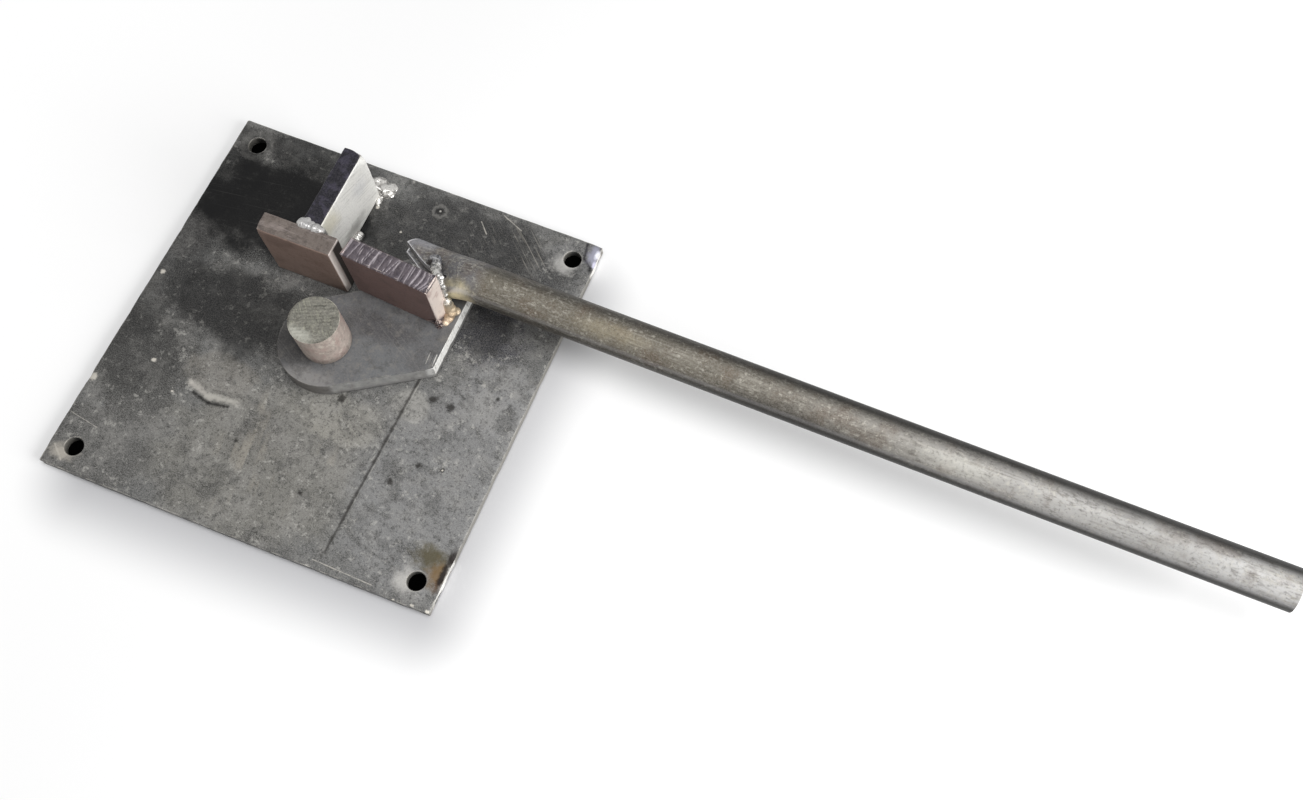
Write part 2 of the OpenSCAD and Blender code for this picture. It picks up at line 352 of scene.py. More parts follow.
# %% [markdown]
# ## Pivot pin
# The pin is turned from round bar: a thin tail that runs in the swing plate and the base, and a
# thick head that all bending goes round. Its top was sawn off and never cleaned, so it keeps
# the saw's parallel grooves and a burr along one edge. The top face is inset many times to give
# rings of small faces, and the grooves are then pressed into them.
# %% Pivot pin
head_z = swing_top + head_gap
top_bevel = 0.6 * mm
side_steps = 8
rise_step = (pin_high.z - top_bevel - head_z) / side_steps
pin = turned("pivot_pin_sawn", [(tail_r, pin_low.z), (tail_r, head_z), (head_r - 0.3 * mm, head_z),
                                (head_r, head_z + 0.3 * mm)]
             + [(head_r, head_z + rise_step * (i + 1)) for i in range(side_steps)]
             + [(head_r - top_bevel * 0.3, pin_high.z - top_bevel * 0.3), (head_r - top_bevel, pin_high.z)],
             sides=128)
top_rings = 26
edit(pin, "FACE", lambda f: f.center.z > pin_high.z - tiny)
for _ in range(top_rings):
    bpy.ops.mesh.inset(thickness=(head_r - top_bevel) / (top_rings + 1))
done()

saw_pitch = 1.7 * mm
saw_turn = math.radians(24)
saw_low = 0.34
groove_deep = 0.12


def sawn_top(co, normal):
    if normal.z < 0.5:
        pits = rough(co, 1.6 * mm, 11, over=0.62) * 0.5
        return pits * mm if co.z > head_z + mm else 0
    across = co.y * math.cos(saw_turn) - co.x * math.sin(saw_turn) + 0.5 * mm * rough(co, 5 * mm, 2)
    groove = abs(math.sin(math.pi * across / saw_pitch)) ** 2
    chips = rough(co, 2.2 * mm, 4, over=0.5) * 0.9
    lip = 0.35 * near(co, (-head_r, -2 * mm, pin_high.z), 7 * mm)
    worn = 0.5 * near(co, (head_r * 0.6, -head_r * 0.7, pin_high.z), 6 * mm)
    return (saw_low + groove_deep * groove + chips * 0.5 + worn - lip) * mm


press_in(pin, sawn_top, 1.2 * mm)
replace(pin, 40, "pivot_pin", "base")

# %% [markdown]
# ## Flat bar pieces
# The stop, its rib and the pusher are cut from 10 mm flat bar. `flat_bar` makes a cube at its
# size, then splits it into small cells along each side by subdividing only the edges that run
# that way. The rim edges are found by their place, and bevelled by the width that wear and
# grinding gave them.
# %% Flat bar
def flat_bar(name, low, high, cell, rim_width):
    size = high - low
    bpy.ops.mesh.primitive_cube_add(size=1, location=(low + high) / 2)
    bpy.context.object.scale = size
    piece = settled(name)
    for axis in range(3):
        def runs_along(e):
            a, b = ends(piece, e)
            return abs(a[axis] - b[axis]) > size[axis] * 0.9

        cuts = max(1, round(size[axis] / cell))
        change(piece, "EDGE", runs_along, bpy.ops.mesh.subdivide, number_cuts=cuts)

    def at_rim(e):
        a, b = ends(piece, e)
        flat = [k for k in range(3) if abs(a[k] - b[k]) < tiny
                and min(abs(a[k] - low[k]), abs(a[k] - high[k])) < tiny]
        return len(flat) == 2

    change(piece, "EDGE", at_rim, bpy.ops.mesh.bevel, offset=rim_width, segments=3)
    return piece


def rim_share(co, low, high, reach):
    """1 on a rim edge of a bar, falling to 0 at a reach from it."""
    gap = sorted(min(co[k] - low[k], high[k] - co[k]) for k in range(3))[1]
    return max(0.0, 1 - gap / reach)


# %% [markdown]
# ## Stop
# The stop stands still and takes the force of every bend. Its top and its free end were knocked
# about, and its outer top corner is knocked a little low, so the edges are uneven.
# %% Stop
stop = flat_bar("stop_bar", stop_low, stop_high, 1.1 * mm, 0.9 * mm)
low_corner = Vector((stop_low.x, stop_low.y, stop_high.z))


def stop_wear(co, normal):
    edge = rim_share(co, stop_low, stop_high, 1.3 * mm)
    nicks = edge * (0.25 * rough(co, 3 * mm, 21) + 0.35 * rough(co, 6 * mm, 22, over=0.55))
    corner = 0.5 * near(co, low_corner, 5 * mm)
    return (nicks + corner + 0.06 * rough(co, 9 * mm, 23)) * mm


press_in(stop, stop_wear, 2 * mm)
replace(stop, 40, "stop_plate", "base")

# %% [markdown]
# ## Rib
# The rib backs the stop up. Its top keeps the blue-black scale of the bar, while the side
# towards the handle was ground bright before welding. The far top corner is bevelled.
# %% Rib
rib = flat_bar("rib_bar", rib_low, rib_high, 1.3 * mm, 0.7 * mm)


def rib_wear(co, normal):
    edge = rim_share(co, rib_low, rib_high, 1.4 * mm)
    nicks = edge * (0.3 * rough(co, 2.5 * mm, 31) + 0.5 * rough(co, 7 * mm, 32, over=0.55))
    corner = 1.2 * near(co, rib_high, 6 * mm)
    ground = 0.12 * rough((co.x, co.y * 0.4, co.z * 3), 6 * mm, 33) if normal.x > 0.7 else 0
    return (nicks + corner + ground) * mm


press_in(rib, rib_wear, 2 * mm)
replace(rib, 40, "stop_rib", "base")

# %% [markdown]
# ## Pusher
# The pusher was flame-cut from the bar, and the torch left a row of drag lines across its top.
# Seen close, they are shallow grooves at uneven distances that lean a little, and the last ones
# curve round the outer end, where the torch turned the corner. The bar is modelled with its outer
# front foot at the origin, in small cells so that the grooves are real geometry, and is turned
# and moved to its place at the end, because it was welded on a few degrees askew.
# %% Pusher
bar_low, bar_high = Vector((-push_w, 0, 0)), Vector((0, push_t, push_h))
pusher = flat_bar("pusher_bar", bar_low, bar_high, 0.55 * mm, 0.6 * mm)
line_chance = random.Random(12)
drag_set = []
line_at = -push_w
while line_at < -3 * mm:
    drag_set.append((line_at, line_chance.uniform(-0.12, 0.3), line_chance.uniform(0.3, 1.0),
                     line_chance.uniform(0.22, 0.5) * mm))
    line_at += line_chance.choice((0.8, 1.2, 1.8, 2.6, 3.6)) * mm
drag_set += [(x * mm, 0.1, 0.9, 0.35 * mm) for x in (-8.4, -5.6, -3.0, -1.6)]
end_turn = 10 * mm
print("drag lines:", len(drag_set))


def drag_lines(co):
    """How deep the drag lines are at a point of the pusher's top, from 0 to 1."""
    round_end = max(0.0, 1 + co.x / end_turn)
    bow = 1.1 * round_end * (co.y - push_t / 2) ** 2 / push_t
    wander = 0.3 * mm * (rough((co.x, co.y, 0), 5 * mm, 41) - 0.5)
    return min(1.0, sum(deep * math.exp(-((co.x + bow + wander - at_x - slant * co.y) / wide) ** 2)
                        for at_x, slant, deep, wide in drag_set))


def pusher_wear(co, normal):
    edge = rim_share(co, bar_low, bar_high, 1.6 * mm)
    fade = max(0.0, 1 - (push_h - co.z) / (1.8 * mm))
    lines = 0.4 * drag_lines(co) * fade
    nicks = edge * (0.16 * rough(co, 1.8 * mm, 44) + 0.3 * rough(co, 5 * mm, 45, over=0.5))
    scale_pits = 0.35 * rough(co, 1.6 * mm, 47, over=0.5) * fade
    end_drop = 0.45 * max(0.0, 1 + co.x / (4 * mm)) ** 2 * fade
    foot = 1.9 * near(co, (0, 0, 0), 8 * mm)
    return (lines + nicks + scale_pits + end_drop + foot + 0.08 * rough(co, 8 * mm, 46)) * mm


drag = pusher.data.attributes.new("drag", "FLOAT", "POINT")
for i, v in enumerate(pusher.data.vertices):
    drag.data[i].value = drag_lines(v.co)
press_in(pusher, pusher_wear, 2 * mm)
pusher.rotation_euler = (0, 0, -push_turn)
pusher.location = push_foot
settle(pusher)
replace(pusher, 45, "pusher_plate", "lever")


def on_pusher(x, y, z):
    """A place in millimetres from the pusher's outer front foot, turned with it."""
    return push_foot + Matrix.Rotation(-push_turn, 3, "Z") @ (Vector((x, y, z)) * mm)


# %% [markdown]
# ## Swing plate
# The swing plate is a cam: round where it turns about the pin, and straight where it was cut
# to carry the pusher and the handle. Its outline is a ring of vertices that are pulled to their
# places, filled, and extruded to the plate's thickness. The straight edge towards the handle is
# a rough bright cut, so the outline has a vertex every millimetre and a half for it to chew.
# %% Swing plate
def tangent(point, radius, side):
    """The angle at which a line from a point touches a circle round the origin."""
    return math.atan2(point.y, point.x) + side * math.acos(radius / point.length)


def spaced(points, step):
    """The same closed outline with extra points along its long sides."""
    filled = []
    for a, b in zip(points, points[1:] + points[:1]):
        parts = max(1, round((b - a).length / step))
        filled += [a + (b - a) * i / parts for i in range(parts)]
    return filled


toe = Vector((swing_high.x, 5.8 * mm))
heel = Vector((heel_end, stop_low.y))
round_from = tangent(heel, swing_r, 1)
round_to = tangent(toe, swing_r, -1) + 2 * math.pi
round_steps = 60
outline = [Vector((swing_r * math.cos(a), swing_r * math.sin(a))) for a in
           (round_from + (round_to - round_from) * i / round_steps for i in range(round_steps + 1))]
outline += [toe, Vector((swing_high.x, swing_high.y)),
            Vector((neck.x - root_len * 0.7, swing_high.y)),
            Vector((heel_end, push_back + 7.4 * mm)), heel]
outline = spaced(outline, 1.5 * mm)

bpy.ops.mesh.primitive_circle_add(vertices=len(outline), radius=swing_r, location=(0, 0, swing_low.z))
swing = settled("swing_cam")
for v, place in zip(swing.data.vertices, outline):
    v.co = (place.x, place.y, swing_low.z)
edit(swing, "EDGE", lambda e: True)
bpy.ops.mesh.edge_face_add()
thickness_steps = 7
for _ in range(thickness_steps):
    bpy.ops.mesh.extrude_region_move(
        TRANSFORM_OT_translate={"value": (0, 0, (swing_top - swing_low.z) / thickness_steps)})
done()
tidy_normals(swing)


def at_face(e):
    return all(min(abs(c.z - swing_top), abs(c.z - swing_low.z)) < tiny for c in ends(swing, e))


change(swing, "EDGE", at_face, bpy.ops.mesh.bevel, offset=0.4 * mm, segments=2)


def swing_wear(co, normal):
    if abs(normal.z) > 0.98:
        return 0
    cut_edge = 1.0 if co.x > swing_high.x - 1.5 * mm else 0.35
    chew = 0.45 * rough(co, 2.2 * mm, 51) + 0.25 * rough((co.x, co.y, 0), 1.1 * mm, 52)
    return chew * cut_edge * mm


press_in(swing, swing_wear, 1 * mm)
bore_r = tail_r + bore_gap
cut_away(swing, turned("reamer", [(bore_r, swing_low.z - mm), (bore_r, swing_top + mm)], sides=96))
replace(swing, 35, "swing_plate", "lever")

# %% [markdown]
# ## Handle
# The handle is a length of tube. One end was flattened in a press and laid on the swing plate,
# then cut at a slant so that it passes the pusher's back corner. It is modelled along X first:
# an open cylinder for the round part, then rings that are extruded back from its end and
# squashed one by one, and last it is turned to its slope and lean.
# %% Handle tube
tube_len = (tube_high.x - neck.x) / (math.cos(rise) * math.cos(lean)) - 1.2 * mm
tube_sides = 72
tube_cell = 3.5 * mm
bpy.ops.mesh.primitive_cylinder_add(
    vertices=tube_sides, radius=tube_r, depth=tube_len, end_fill_type="NOTHING")
bpy.context.object.rotation_euler = (math.radians(90), 0, math.radians(90))
bpy.context.object.location = (tube_len / 2, 0, 0)
handle = settled("handle_pipe")
change(handle, "EDGE", lambda e: abs(ends(handle, e)[0].x - ends(handle, e)[1].x) > tube_len / 2,
       bpy.ops.mesh.subdivide, number_cuts=round(tube_len / tube_cell))
root_rings = 30
edit(handle, "EDGE", lambda e: all(abs(c.x) < tiny for c in ends(handle, e)))
for _ in range(root_rings):
    bpy.ops.mesh.extrude_region_move(TRANSFORM_OT_translate={"value": (-root_len / root_rings, 0, 0)})
done()

# %% [markdown]
# The squash: far from the round part the ring is a flat oval, 27 mm wide and 8.5 mm thick, that
# lies on the swing plate. Towards the neck it swells back to a round tube and climbs to the
# tube's own height. `swell` runs smoothly from 0 to 1 along that way. Two blocks then cut the
# slanted mitre and the corner beyond it.
# %% Flattened root
flat_share = 0.215
flat_middle = swing_top + root_t / 2 - neck.z


def swell(share):
    u = min(1.0, max(0.0, (share - flat_share) / (1 - flat_share)))
    return u * u * (3 - 2 * u)


def root_place(x, angle):
    share = 1 + x / root_len
    u = swell(share)
    wide = root_w + (2 * tube_r - root_w) * u
    thick = root_t + (2 * tube_r - root_t) * u
    slope = rise * u
    z = flat_middle + (x * math.tan(rise) - flat_middle) * u
    side = 1 if math.cos(angle) >= 0 else -1
    y = side * (wide - thick) / 2 + math.cos(angle) * thick / 2
    up = math.sin(angle) * thick / 2
    return Vector((x - up * math.sin(slope), y, z + up * math.cos(slope)))


for v in handle.data.vertices:
    angle = math.atan2(v.co.z, v.co.y)
    if v.co.x < tiny:
        v.co = root_place(v.co.x, angle)
    else:
        v.co = Vector((v.co.x * math.cos(rise) - v.co.z * math.sin(rise), v.co.y,
                       v.co.x * math.sin(rise) + v.co.z * math.cos(rise)))
tidy_normals(handle)
modify(handle, "SOLIDIFY", thickness=tube_wall, offset=-1)


def block(corner, turn, tilt, size, shift):
    """A block moved by a shift, then tilted about X and turned about Z by degrees at a corner."""
    bpy.ops.mesh.primitive_cube_add(size=1, location=(0, 0, 0))
    bpy.context.object.matrix_world = (
        Matrix.Translation(corner) @ Matrix.Rotation(math.radians(turn), 4, "Z")
        @ Matrix.Rotation(math.radians(tilt), 4, "X") @ Matrix.Translation(shift)
        @ Matrix.Diagonal((*size, 1)))
    return settled("block")


notch_len = root_len * 1.7
cut_away(handle, block((-root_len, root_w / 4, flat_middle), -29, -21, (notch_len, root_len, 2 * root_len),
                       (notch_len / 2 - root_len, -root_len / 2, 0)))
cut_away(handle, block((-root_len, root_w * 0.3, 0), 50, 0, (2 * root_len, root_len, 2 * root_len),
                       (0, root_len / 2, 0)))
handle.rotation_euler = (0, 0, -lean)
handle.location = neck
settle(handle)
replace(handle, 40, "handle_tube", "lever")

# %% [markdown]
# ## Welds
# A stick weld is a row of frozen drops: each one overlaps the last, which leaves the ripples.
# So a bead is made the same way, from flattened spheres set close together along its run with
# a little chance in their size and place. A voxel remesh melts them into one skin, and a light
# smoothing takes the voxels' steps off. One sphere is modelled once and copied for every drop.
# %% Weld bead
bpy.ops.mesh.primitive_ico_sphere_add(subdivisions=3, radius=1, location=(0, 0, 0))
drop_pattern = bpy.context.object
drop_pattern.name = "drop_pattern"
drop_pitch = 0.46
drop_half = 0.5
drop_jitter = 0.05
welds = []


def drop(place, size, turn=Matrix.Identity(3)):
    copy = drop_pattern.copy()
    copy.data = drop_pattern.data.copy()
    bpy.context.scene.collection.objects.link(copy)
    copy.matrix_world = Matrix.Translation(place) @ turn.to_4x4() @ Matrix.Diagonal((*size, 1))
    return copy


def run_drops(start, end, radius, chance):
    """Drops from start to end: flat along the run, round across it."""
    way = (end - start).to_track_quat("X", "Z").to_matrix()
    count = max(2, round((end - start).length / (radius * drop_pitch)) + 1)
    drops = []
    for i in range(count):
        wide = radius * chance.uniform(0.92, 1.03)
        jitter = Vector([chance.uniform(-drop_jitter, drop_jitter) * radius for _ in range(3)])
        place = start + (end - start) * i / (count - 1) + jitter
        drops.append(drop(place, (radius * drop_half, wide, wide * chance.uniform(0.92, 1.0)), way))
    return drops


def weld(stem, body, runs, lumps=(), seed=1, voxel=0.32 * mm, floor=None):
    """Runs are start, end and radius. Lumps are single drops: a place and a size each way."""
    chance = random.Random(seed)
    drops = []
    for start, end, radius in runs:
        drops += run_drops(start, end, radius, chance)
    drops += [drop(place, size) for place, size in lumps]
    only(*drops)
    bpy.ops.object.join()
    bead = settled(stem + "_bead")
    modify(bead, "REMESH", mode="VOXEL", voxel_size=voxel)
    modify(bead, "SMOOTH", factor=0.5, iterations=2)
    if floor is not None:
        change(bead, "FACE", lambda f: True, bpy.ops.mesh.bisect, plane_co=(0, 0, floor),
               plane_no=(0, 0, 1), clear_inner=True, use_fill=True)
    replace(bead, 60, stem + "_weld", body)
    welds.append(bead)
    return bead


def lumps_at(to_metres, rows):
    """Lumps from rows of place and size in millimetres, where to_metres says how to read a place."""
    return [(to_metres(*place), tuple(r * mm for r in size)) for place, size in rows]


# %% [markdown]
# The beads on the base: two short fillets behind the stop, one along the dark side of the rib,
# a tack on its bright side, a run over the seam at the top, and the big messy lump at the rib's
# far end, with the crater that the last drop left and some spatter on the plate round it.
# %% Welds on the base
bead_r = 3.3 * mm
foot_z = plate_top + 1.1 * mm
sunk = plate_top - 0.3 * mm
behind_stop = stop_high.y + 0.9 * mm
beside_rib = rib_low.x - 0.9 * mm


def foot_run(x, y, x_end, y_end, radius=bead_r):
    return Vector((x, y, foot_z)), Vector((x_end, y_end, foot_z)), radius


weld("stop_foot", "base", [foot_run(stop_low.x + 2 * mm, behind_stop, rib_low.x - 4 * mm, behind_stop),
                           foot_run(rib_high.x + 2 * mm, behind_stop, stop_high.x - 2 * mm, behind_stop)],
     seed=2, floor=sunk)
weld("rib_foot", "base", [foot_run(beside_rib, rib_low.y + 3 * mm, beside_rib, rib_high.y - 1 * mm)],
     seed=3, floor=sunk)
weld("rib_tack", "base", [foot_run(rib_high.x + 0.6 * mm, rib_low.y + 15 * mm, rib_high.x + 0.9 * mm,
                                   rib_low.y + 21 * mm, 2.6 * mm)], seed=4, floor=sunk)


def on_seam(x, y, z):
    return Vector((rib_low.x, stop_high.y, stop_high.z - 1.2 * mm)) + Vector((x, y, z)) * mm


weld("rib_top", "base", [(on_seam(0, 0.6, 0), on_seam(10.4, 0.6, -0.2), 2.5 * mm)], lumps_at(on_seam, (
    ((0.6, 1.2, -0.4), (2.9, 3.4, 2.7)), ((2.6, 2.6, -0.2), (2.6, 3.2, 2.0)),
    ((5.4, 2.0, -0.4), (2.4, 2.6, 2.1)), ((8, 1.4, -0.2), (2.8, 2.6, 2.1)),
    ((10.2, 0.8, -1.6), (2.2, 2.4, 3.2)), ((10.4, 1.4, -5), (1.7, 2.0, 3.6)))), seed=5)


def at_rib_end(x, y, z):
    return Vector((rib_high.x, rib_high.y, plate_top)) + Vector((x, y, z)) * mm


spatter_flat = 0.7
end_lumps = lumps_at(at_rib_end, (
    ((-2, 2, -1), (6.2, 4.6, 5.4)), ((1.6, 3, -1), (5.4, 4.8, 4.2)), ((-6.5, 1.8, -1), (4.6, 4.2, 4.4)),
    ((-3.6, 6.4, -1.2), (5.4, 3.6, 3.2)), ((3, 5.6, -1.4), (4.4, 3.6, 3)), ((0.4, -2.4, -1), (2.2, 4.4, 2.8)),
    ((-7.6, 5.4, -1.4), (3.4, 3, 3)), ((-3, 0.8, 3.4), (4.6, 2.2, 3.8)), ((4.6, 1.8, -1.4), (2.8, 2.8, 2.4))))
spatter = lumps_at(at_rib_end, [((x, y, -0.2), (r, r, r * spatter_flat)) for x, y, r in (
    (1.7, -6, 0.9), (-12, 7, 0.6), (9, -3, 0.5), (12, 4, 0.45),
    (4.5, -18, 0.55), (7.5, -9, 0.35), (-1, -40, 0.4), (10, -30, 0.35))])
rib_end_bead = weld("rib_end", "base", [], end_lumps + spatter, seed=6, voxel=0.28 * mm,
                    floor=plate_top - 0.2 * mm)
crater = at_rib_end(-3, 4.6, 3)


def lump_skin(co, normal):
    ripples = 0.35 * rough(co, 2.4 * mm, 61) + 0.2 * rough(co, 1 * mm, 62)
    return (1.6 * near(co, crater, 3 * mm) + ripples) * mm


press_in(rib_end_bead, lump_skin, 2 * mm)

# %% [markdown]
# The beads on the lever: a fillet behind the pusher's foot, lumps up its outer end, the arched
# run that ties its back corner to the top of the handle's root, and two small fillets at the
# root's foot that the handle itself hides from most sides.
# %% Welds on the lever
sunk = swing_top - 0.3 * mm
behind_pusher = push_t / mm + 0.8
pusher_run = (neck.x - root_len - push_foot.x) / mm
weld("pusher_foot", "lever", [(on_pusher(-push_w / mm + 1.5, behind_pusher, 1),
                               on_pusher(pusher_run, behind_pusher, 1), 3 * mm)], seed=7, floor=sunk)
weld("pusher_end", "lever", [(on_pusher(0.6, 8.6, 1), on_pusher(0.6, 9, 12), 2.4 * mm)], lumps_at(on_pusher, (
    ((1.4, 8, 1), (2.8, 3.2, 2.4)), ((1.6, 6, 0.4), (2.6, 2.8, 1.8)), ((1.2, 3.6, 0), (2.2, 2.6, 1.3)),
    ((1.8, 9.4, 4), (2.4, 2.4, 3)), ((2.4, 8.4, 2.6), (2.2, 2.6, 2.2)), ((1.2, 9.6, 8), (2.2, 2.2, 3)),
    ((0.9, 9.4, 11.4), (2.3, 2.2, 2.4)), ((3.2, 10.4, 0.8), (2.4, 2.2, 1.6)))),
    seed=8, voxel=0.4 * mm, floor=sunk)
arch = [on_pusher(0.6, 10.2, 17), on_pusher(0.2, 10.6, 24), on_pusher(-1.4, 11.8, 29.5)]
arch += [Vector(place) * mm for place in ((41.5, 42.6, 41), (38, 48.6, 35), (35, 53, 29.6), (31.8, 53.6, 27),
                                          (30.6, 51.6, 25.4))]
arch_runs = [(a, b, r * mm) for a, b, r in zip(arch, arch[1:], (1.7, 2.1, 2.8, 3.0, 2.9, 2.6, 2.1))]
top_bead = weld("handle_top", "lever", arch_runs, [
    (arch[4] + Vector((0.6, -3, -4)) * mm, (3 * mm, 3.4 * mm, 4 * mm)),
    (arch[5] + Vector((0, -2.4, -2.6)) * mm, (3.2 * mm, 3.6 * mm, 2.6 * mm))], seed=9, voxel=0.38 * mm)


def arch_skin(co, normal):
    return (2.6 * rough(co, 2.8 * mm, 71, over=0.45) + 0.5 * rough(co, 1.1 * mm, 72)) * mm


press_in(top_bead, arch_skin, 1.6 * mm)
root_fillets = (  # start and end as shares of the root's length and a Y, radius, seed
    ("handle_mitre", 0.86, neck.y + 1.8 * mm, 0.46, push_back + 3.3 * mm, 1.9 * mm, 10),
    ("handle_back", 0.65, swing_high.y - 1 * mm, 0.46, swing_high.y - 3.4 * mm, 2.1 * mm, 11))
fillet_z = swing_top + 0.4 * mm
for stem, share, y, share_end, y_end, radius, seed in root_fillets:
    weld(stem, "lever", [(Vector((neck.x - root_len * share, y, fillet_z)),
                          Vector((neck.x - root_len * share_end, y_end, fillet_z)), radius)],
         seed=seed, floor=swing_top - 0.2 * mm)
bpy.data.objects.remove(drop_pattern)

# %% [markdown]
# ## Masks for the finishes
# Bare steel is never one grey. It has clouds of scale, rubbed edges, scratches and heat marks,
# and each of those is a mask: a value from 0 to 1 over the surface. The masks that more than
# one finish uses are node groups, each with named inputs, so a finish only says where and how
# much. All of them read Object coordinates, so a pattern stays on its piece when it moves.
# %% Node helpers
def tone(red, green, blue):
    """A colour as a screen shows it, from 0 to 255, in the linear values that a shader takes."""
    return tuple(c / 255 / 12.92 if c < 11 else ((c / 255 + 0.055) / 1.055) ** 2.4
                 for c in (red, green, blue)) + (1,)


def plug(tree, socket, value):
    if isinstance(value, bpy.types.NodeSocket):
        tree.links.new(value, socket)
    else:
        socket.default_value = value


def add_node(tree, kind, inputs=(), **settings):
    """Adds a node, sets what it is, and plugs a value or a socket into each of its inputs."""
    made = tree.nodes.new("ShaderNode" + kind)
    for name, value in settings.items():
        setattr(made, name, value)
    for label, value in dict(inputs).items():
        plug(tree, made.inputs[label], value)
    return made


def calc(tree, operation, first, second=0.0, clamp=False):
    return add_node(tree, "Math", {0: first, 1: second}, operation=operation, use_clamp=clamp).outputs[0]


def vector_calc(tree, operation, first, second=(0, 0, 0), output="Vector"):
    return add_node(tree, "VectorMath", {0: first, 1: second}, operation=operation).outputs[output]


def ease(tree, value, low, high, to_low=0.0, to_high=1.0):
    """Runs smoothly from to_low, where value is at low, to to_high, where it is at high."""
    return add_node(tree, "MapRange", {"Value": value, "From Min": low, "From Max": high, "To Min": to_low,
                                       "To Max": to_high}, interpolation_type="SMOOTHSTEP").outputs["Result"]


def noise_at(tree, vector, size, detail=4.0, roughness=0.6):
    """Noise whose bumps are about a size across."""
    scale = calc(tree, "DIVIDE", 1.0, size)
    return add_node(tree, "TexNoise", {"Vector": vector, "Scale": scale, "Detail": detail,
                                       "Roughness": roughness}).outputs["Fac"]


def mix(tree, share, old, new, colour=False):
    """Old where share is 0 and new where it is 1. A Mix node keeps its colour sockets after 5 others."""
    first = 6 if colour else 2
    made = add_node(tree, "Mix", data_type="RGBA" if colour else "FLOAT")
    for number, value in ((0, share), (first, old), (first + 1, new)):
        plug(tree, made.inputs[number], value)
    return made.outputs[2 if colour else 0]


groups = {}


def new_group(name, inputs, outputs=("Mask",)):
    tree = bpy.data.node_groups.new(name, "ShaderNodeTree")
    for label, value in inputs.items():
        kind = "NodeSocketVector" if isinstance(value, tuple) else "NodeSocketFloat"
        tree.interface.new_socket(label, in_out="INPUT", socket_type=kind).default_value = value
    for label in outputs:
        tree.interface.new_socket(label, in_out="OUTPUT", socket_type="NodeSocketFloat")
    groups[name] = tree
    place = tree.nodes.new("ShaderNodeTexCoord").outputs
    return tree, tree.nodes.new("NodeGroupInput").outputs, tree.nodes.new("NodeGroupOutput").inputs, place


# %% [markdown]
# `clouds` is plain noise with its contrast pulled up: large for drifts of scale, small for
# grain. `streaks` stretches the same noise, which gives brushing, rubbing and drawn scratches.
# %% Clouds and streaks
tree, given, result, place = new_group("clouds", {
    "Size": 10 * mm, "Seed": 0.0, "From": 0.4, "To": 0.6, "Detail": 6.0, "Roughness": 0.62})
moved = vector_calc(tree, "ADD", place["Object"], given["Seed"])
cloud = noise_at(tree, moved, given["Size"], given["Detail"], given["Roughness"])
tree.links.new(ease(tree, cloud, given["From"], given["To"]), result["Mask"])

tree, given, result, place = new_group("streaks", {
    "Turn": (0.0, 0.0, 0.0), "Size": (20 * mm, 0.5 * mm, 20 * mm), "Seed": 0.0, "From": 0.6, "To": 0.7,
    "Broken": 20 * mm})
turned_place = add_node(tree, "VectorRotate", {"Vector": place["Object"], "Rotation": given["Turn"]},
                        rotation_type="EULER_XYZ")
drawn = vector_calc(tree, "DIVIDE", turned_place.outputs[0], given["Size"])
line = add_node(tree, "TexNoise", {"Vector": vector_calc(tree, "ADD", drawn, given["Seed"]), "Scale": 1.0,
                                   "Detail": 2.0, "Roughness": 0.5}).outputs["Fac"]
gaps = noise_at(tree, vector_calc(tree, "ADD", place["Object"], given["Seed"]), given["Broken"], 3.0)
streak = calc(tree, "MULTIPLY", ease(tree, line, given["From"], given["To"]), ease(tree, gaps, 0.42, 0.6))
tree.links.new(streak, result["Mask"])

# %% [markdown]
# `spot` is a soft ragged patch at a named place, with a second output that is its rim only.
# `stroke` is a thin line between two points. Both are for marks that the real tool has at one
# place, such as a heat stain or a scribed line. `facing` picks the sides that face one way.
# %% Spots, strokes and facing
tree, given, result, place = new_group("spot", {
    "Centre": (0.0, 0.0, 0.0), "Reach": (10 * mm, 10 * mm, 10 * mm), "Ragged": 0.4, "Grain": 6 * mm,
    "Soft": 0.6}, ("Mask", "Rim"))
offset = vector_calc(tree, "SUBTRACT", place["Object"], given["Centre"])
far = vector_calc(tree, "LENGTH", vector_calc(tree, "DIVIDE", offset, given["Reach"]), output="Value")
wobble = calc(tree, "SUBTRACT", noise_at(tree, place["Object"], given["Grain"]), 0.5)
far = calc(tree, "ADD", far, calc(tree, "MULTIPLY", wobble, given["Ragged"]))
tree.links.new(ease(tree, far, 1.0, calc(tree, "SUBTRACT", 1.0, given["Soft"])), result["Mask"])
rim_far = calc(tree, "DIVIDE", calc(tree, "ABSOLUTE", calc(tree, "SUBTRACT", far, 1.0)), given["Soft"])
tree.links.new(ease(tree, rim_far, 1.0, 0.0), result["Rim"])

tree, given, result, place = new_group("stroke", {
    "Start": (0.0, 0.0, 0.0), "End": (10 * mm, 0.0, 0.0), "Width": 0.3 * mm, "Ragged": 0.5, "Grain": 3 * mm})
way = vector_calc(tree, "SUBTRACT", given["End"], given["Start"])
offset = vector_calc(tree, "SUBTRACT", place["Object"], given["Start"])
along = calc(tree, "DIVIDE", vector_calc(tree, "DOT_PRODUCT", offset, way, "Value"),
             vector_calc(tree, "DOT_PRODUCT", way, way, "Value"), clamp=True)
foot = add_node(tree, "VectorMath", {0: way, "Scale": along}, operation="SCALE").outputs[0]
far = vector_calc(tree, "LENGTH", vector_calc(tree, "SUBTRACT", offset, foot), output="Value")
wobble = noise_at(tree, place["Object"], given["Grain"], 3.0)
wobble = calc(tree, "MULTIPLY", wobble, given["Ragged"])
far = calc(tree, "ADD", calc(tree, "DIVIDE", far, given["Width"]), wobble)
tree.links.new(ease(tree, far, 1.0, 0.4), result["Mask"])

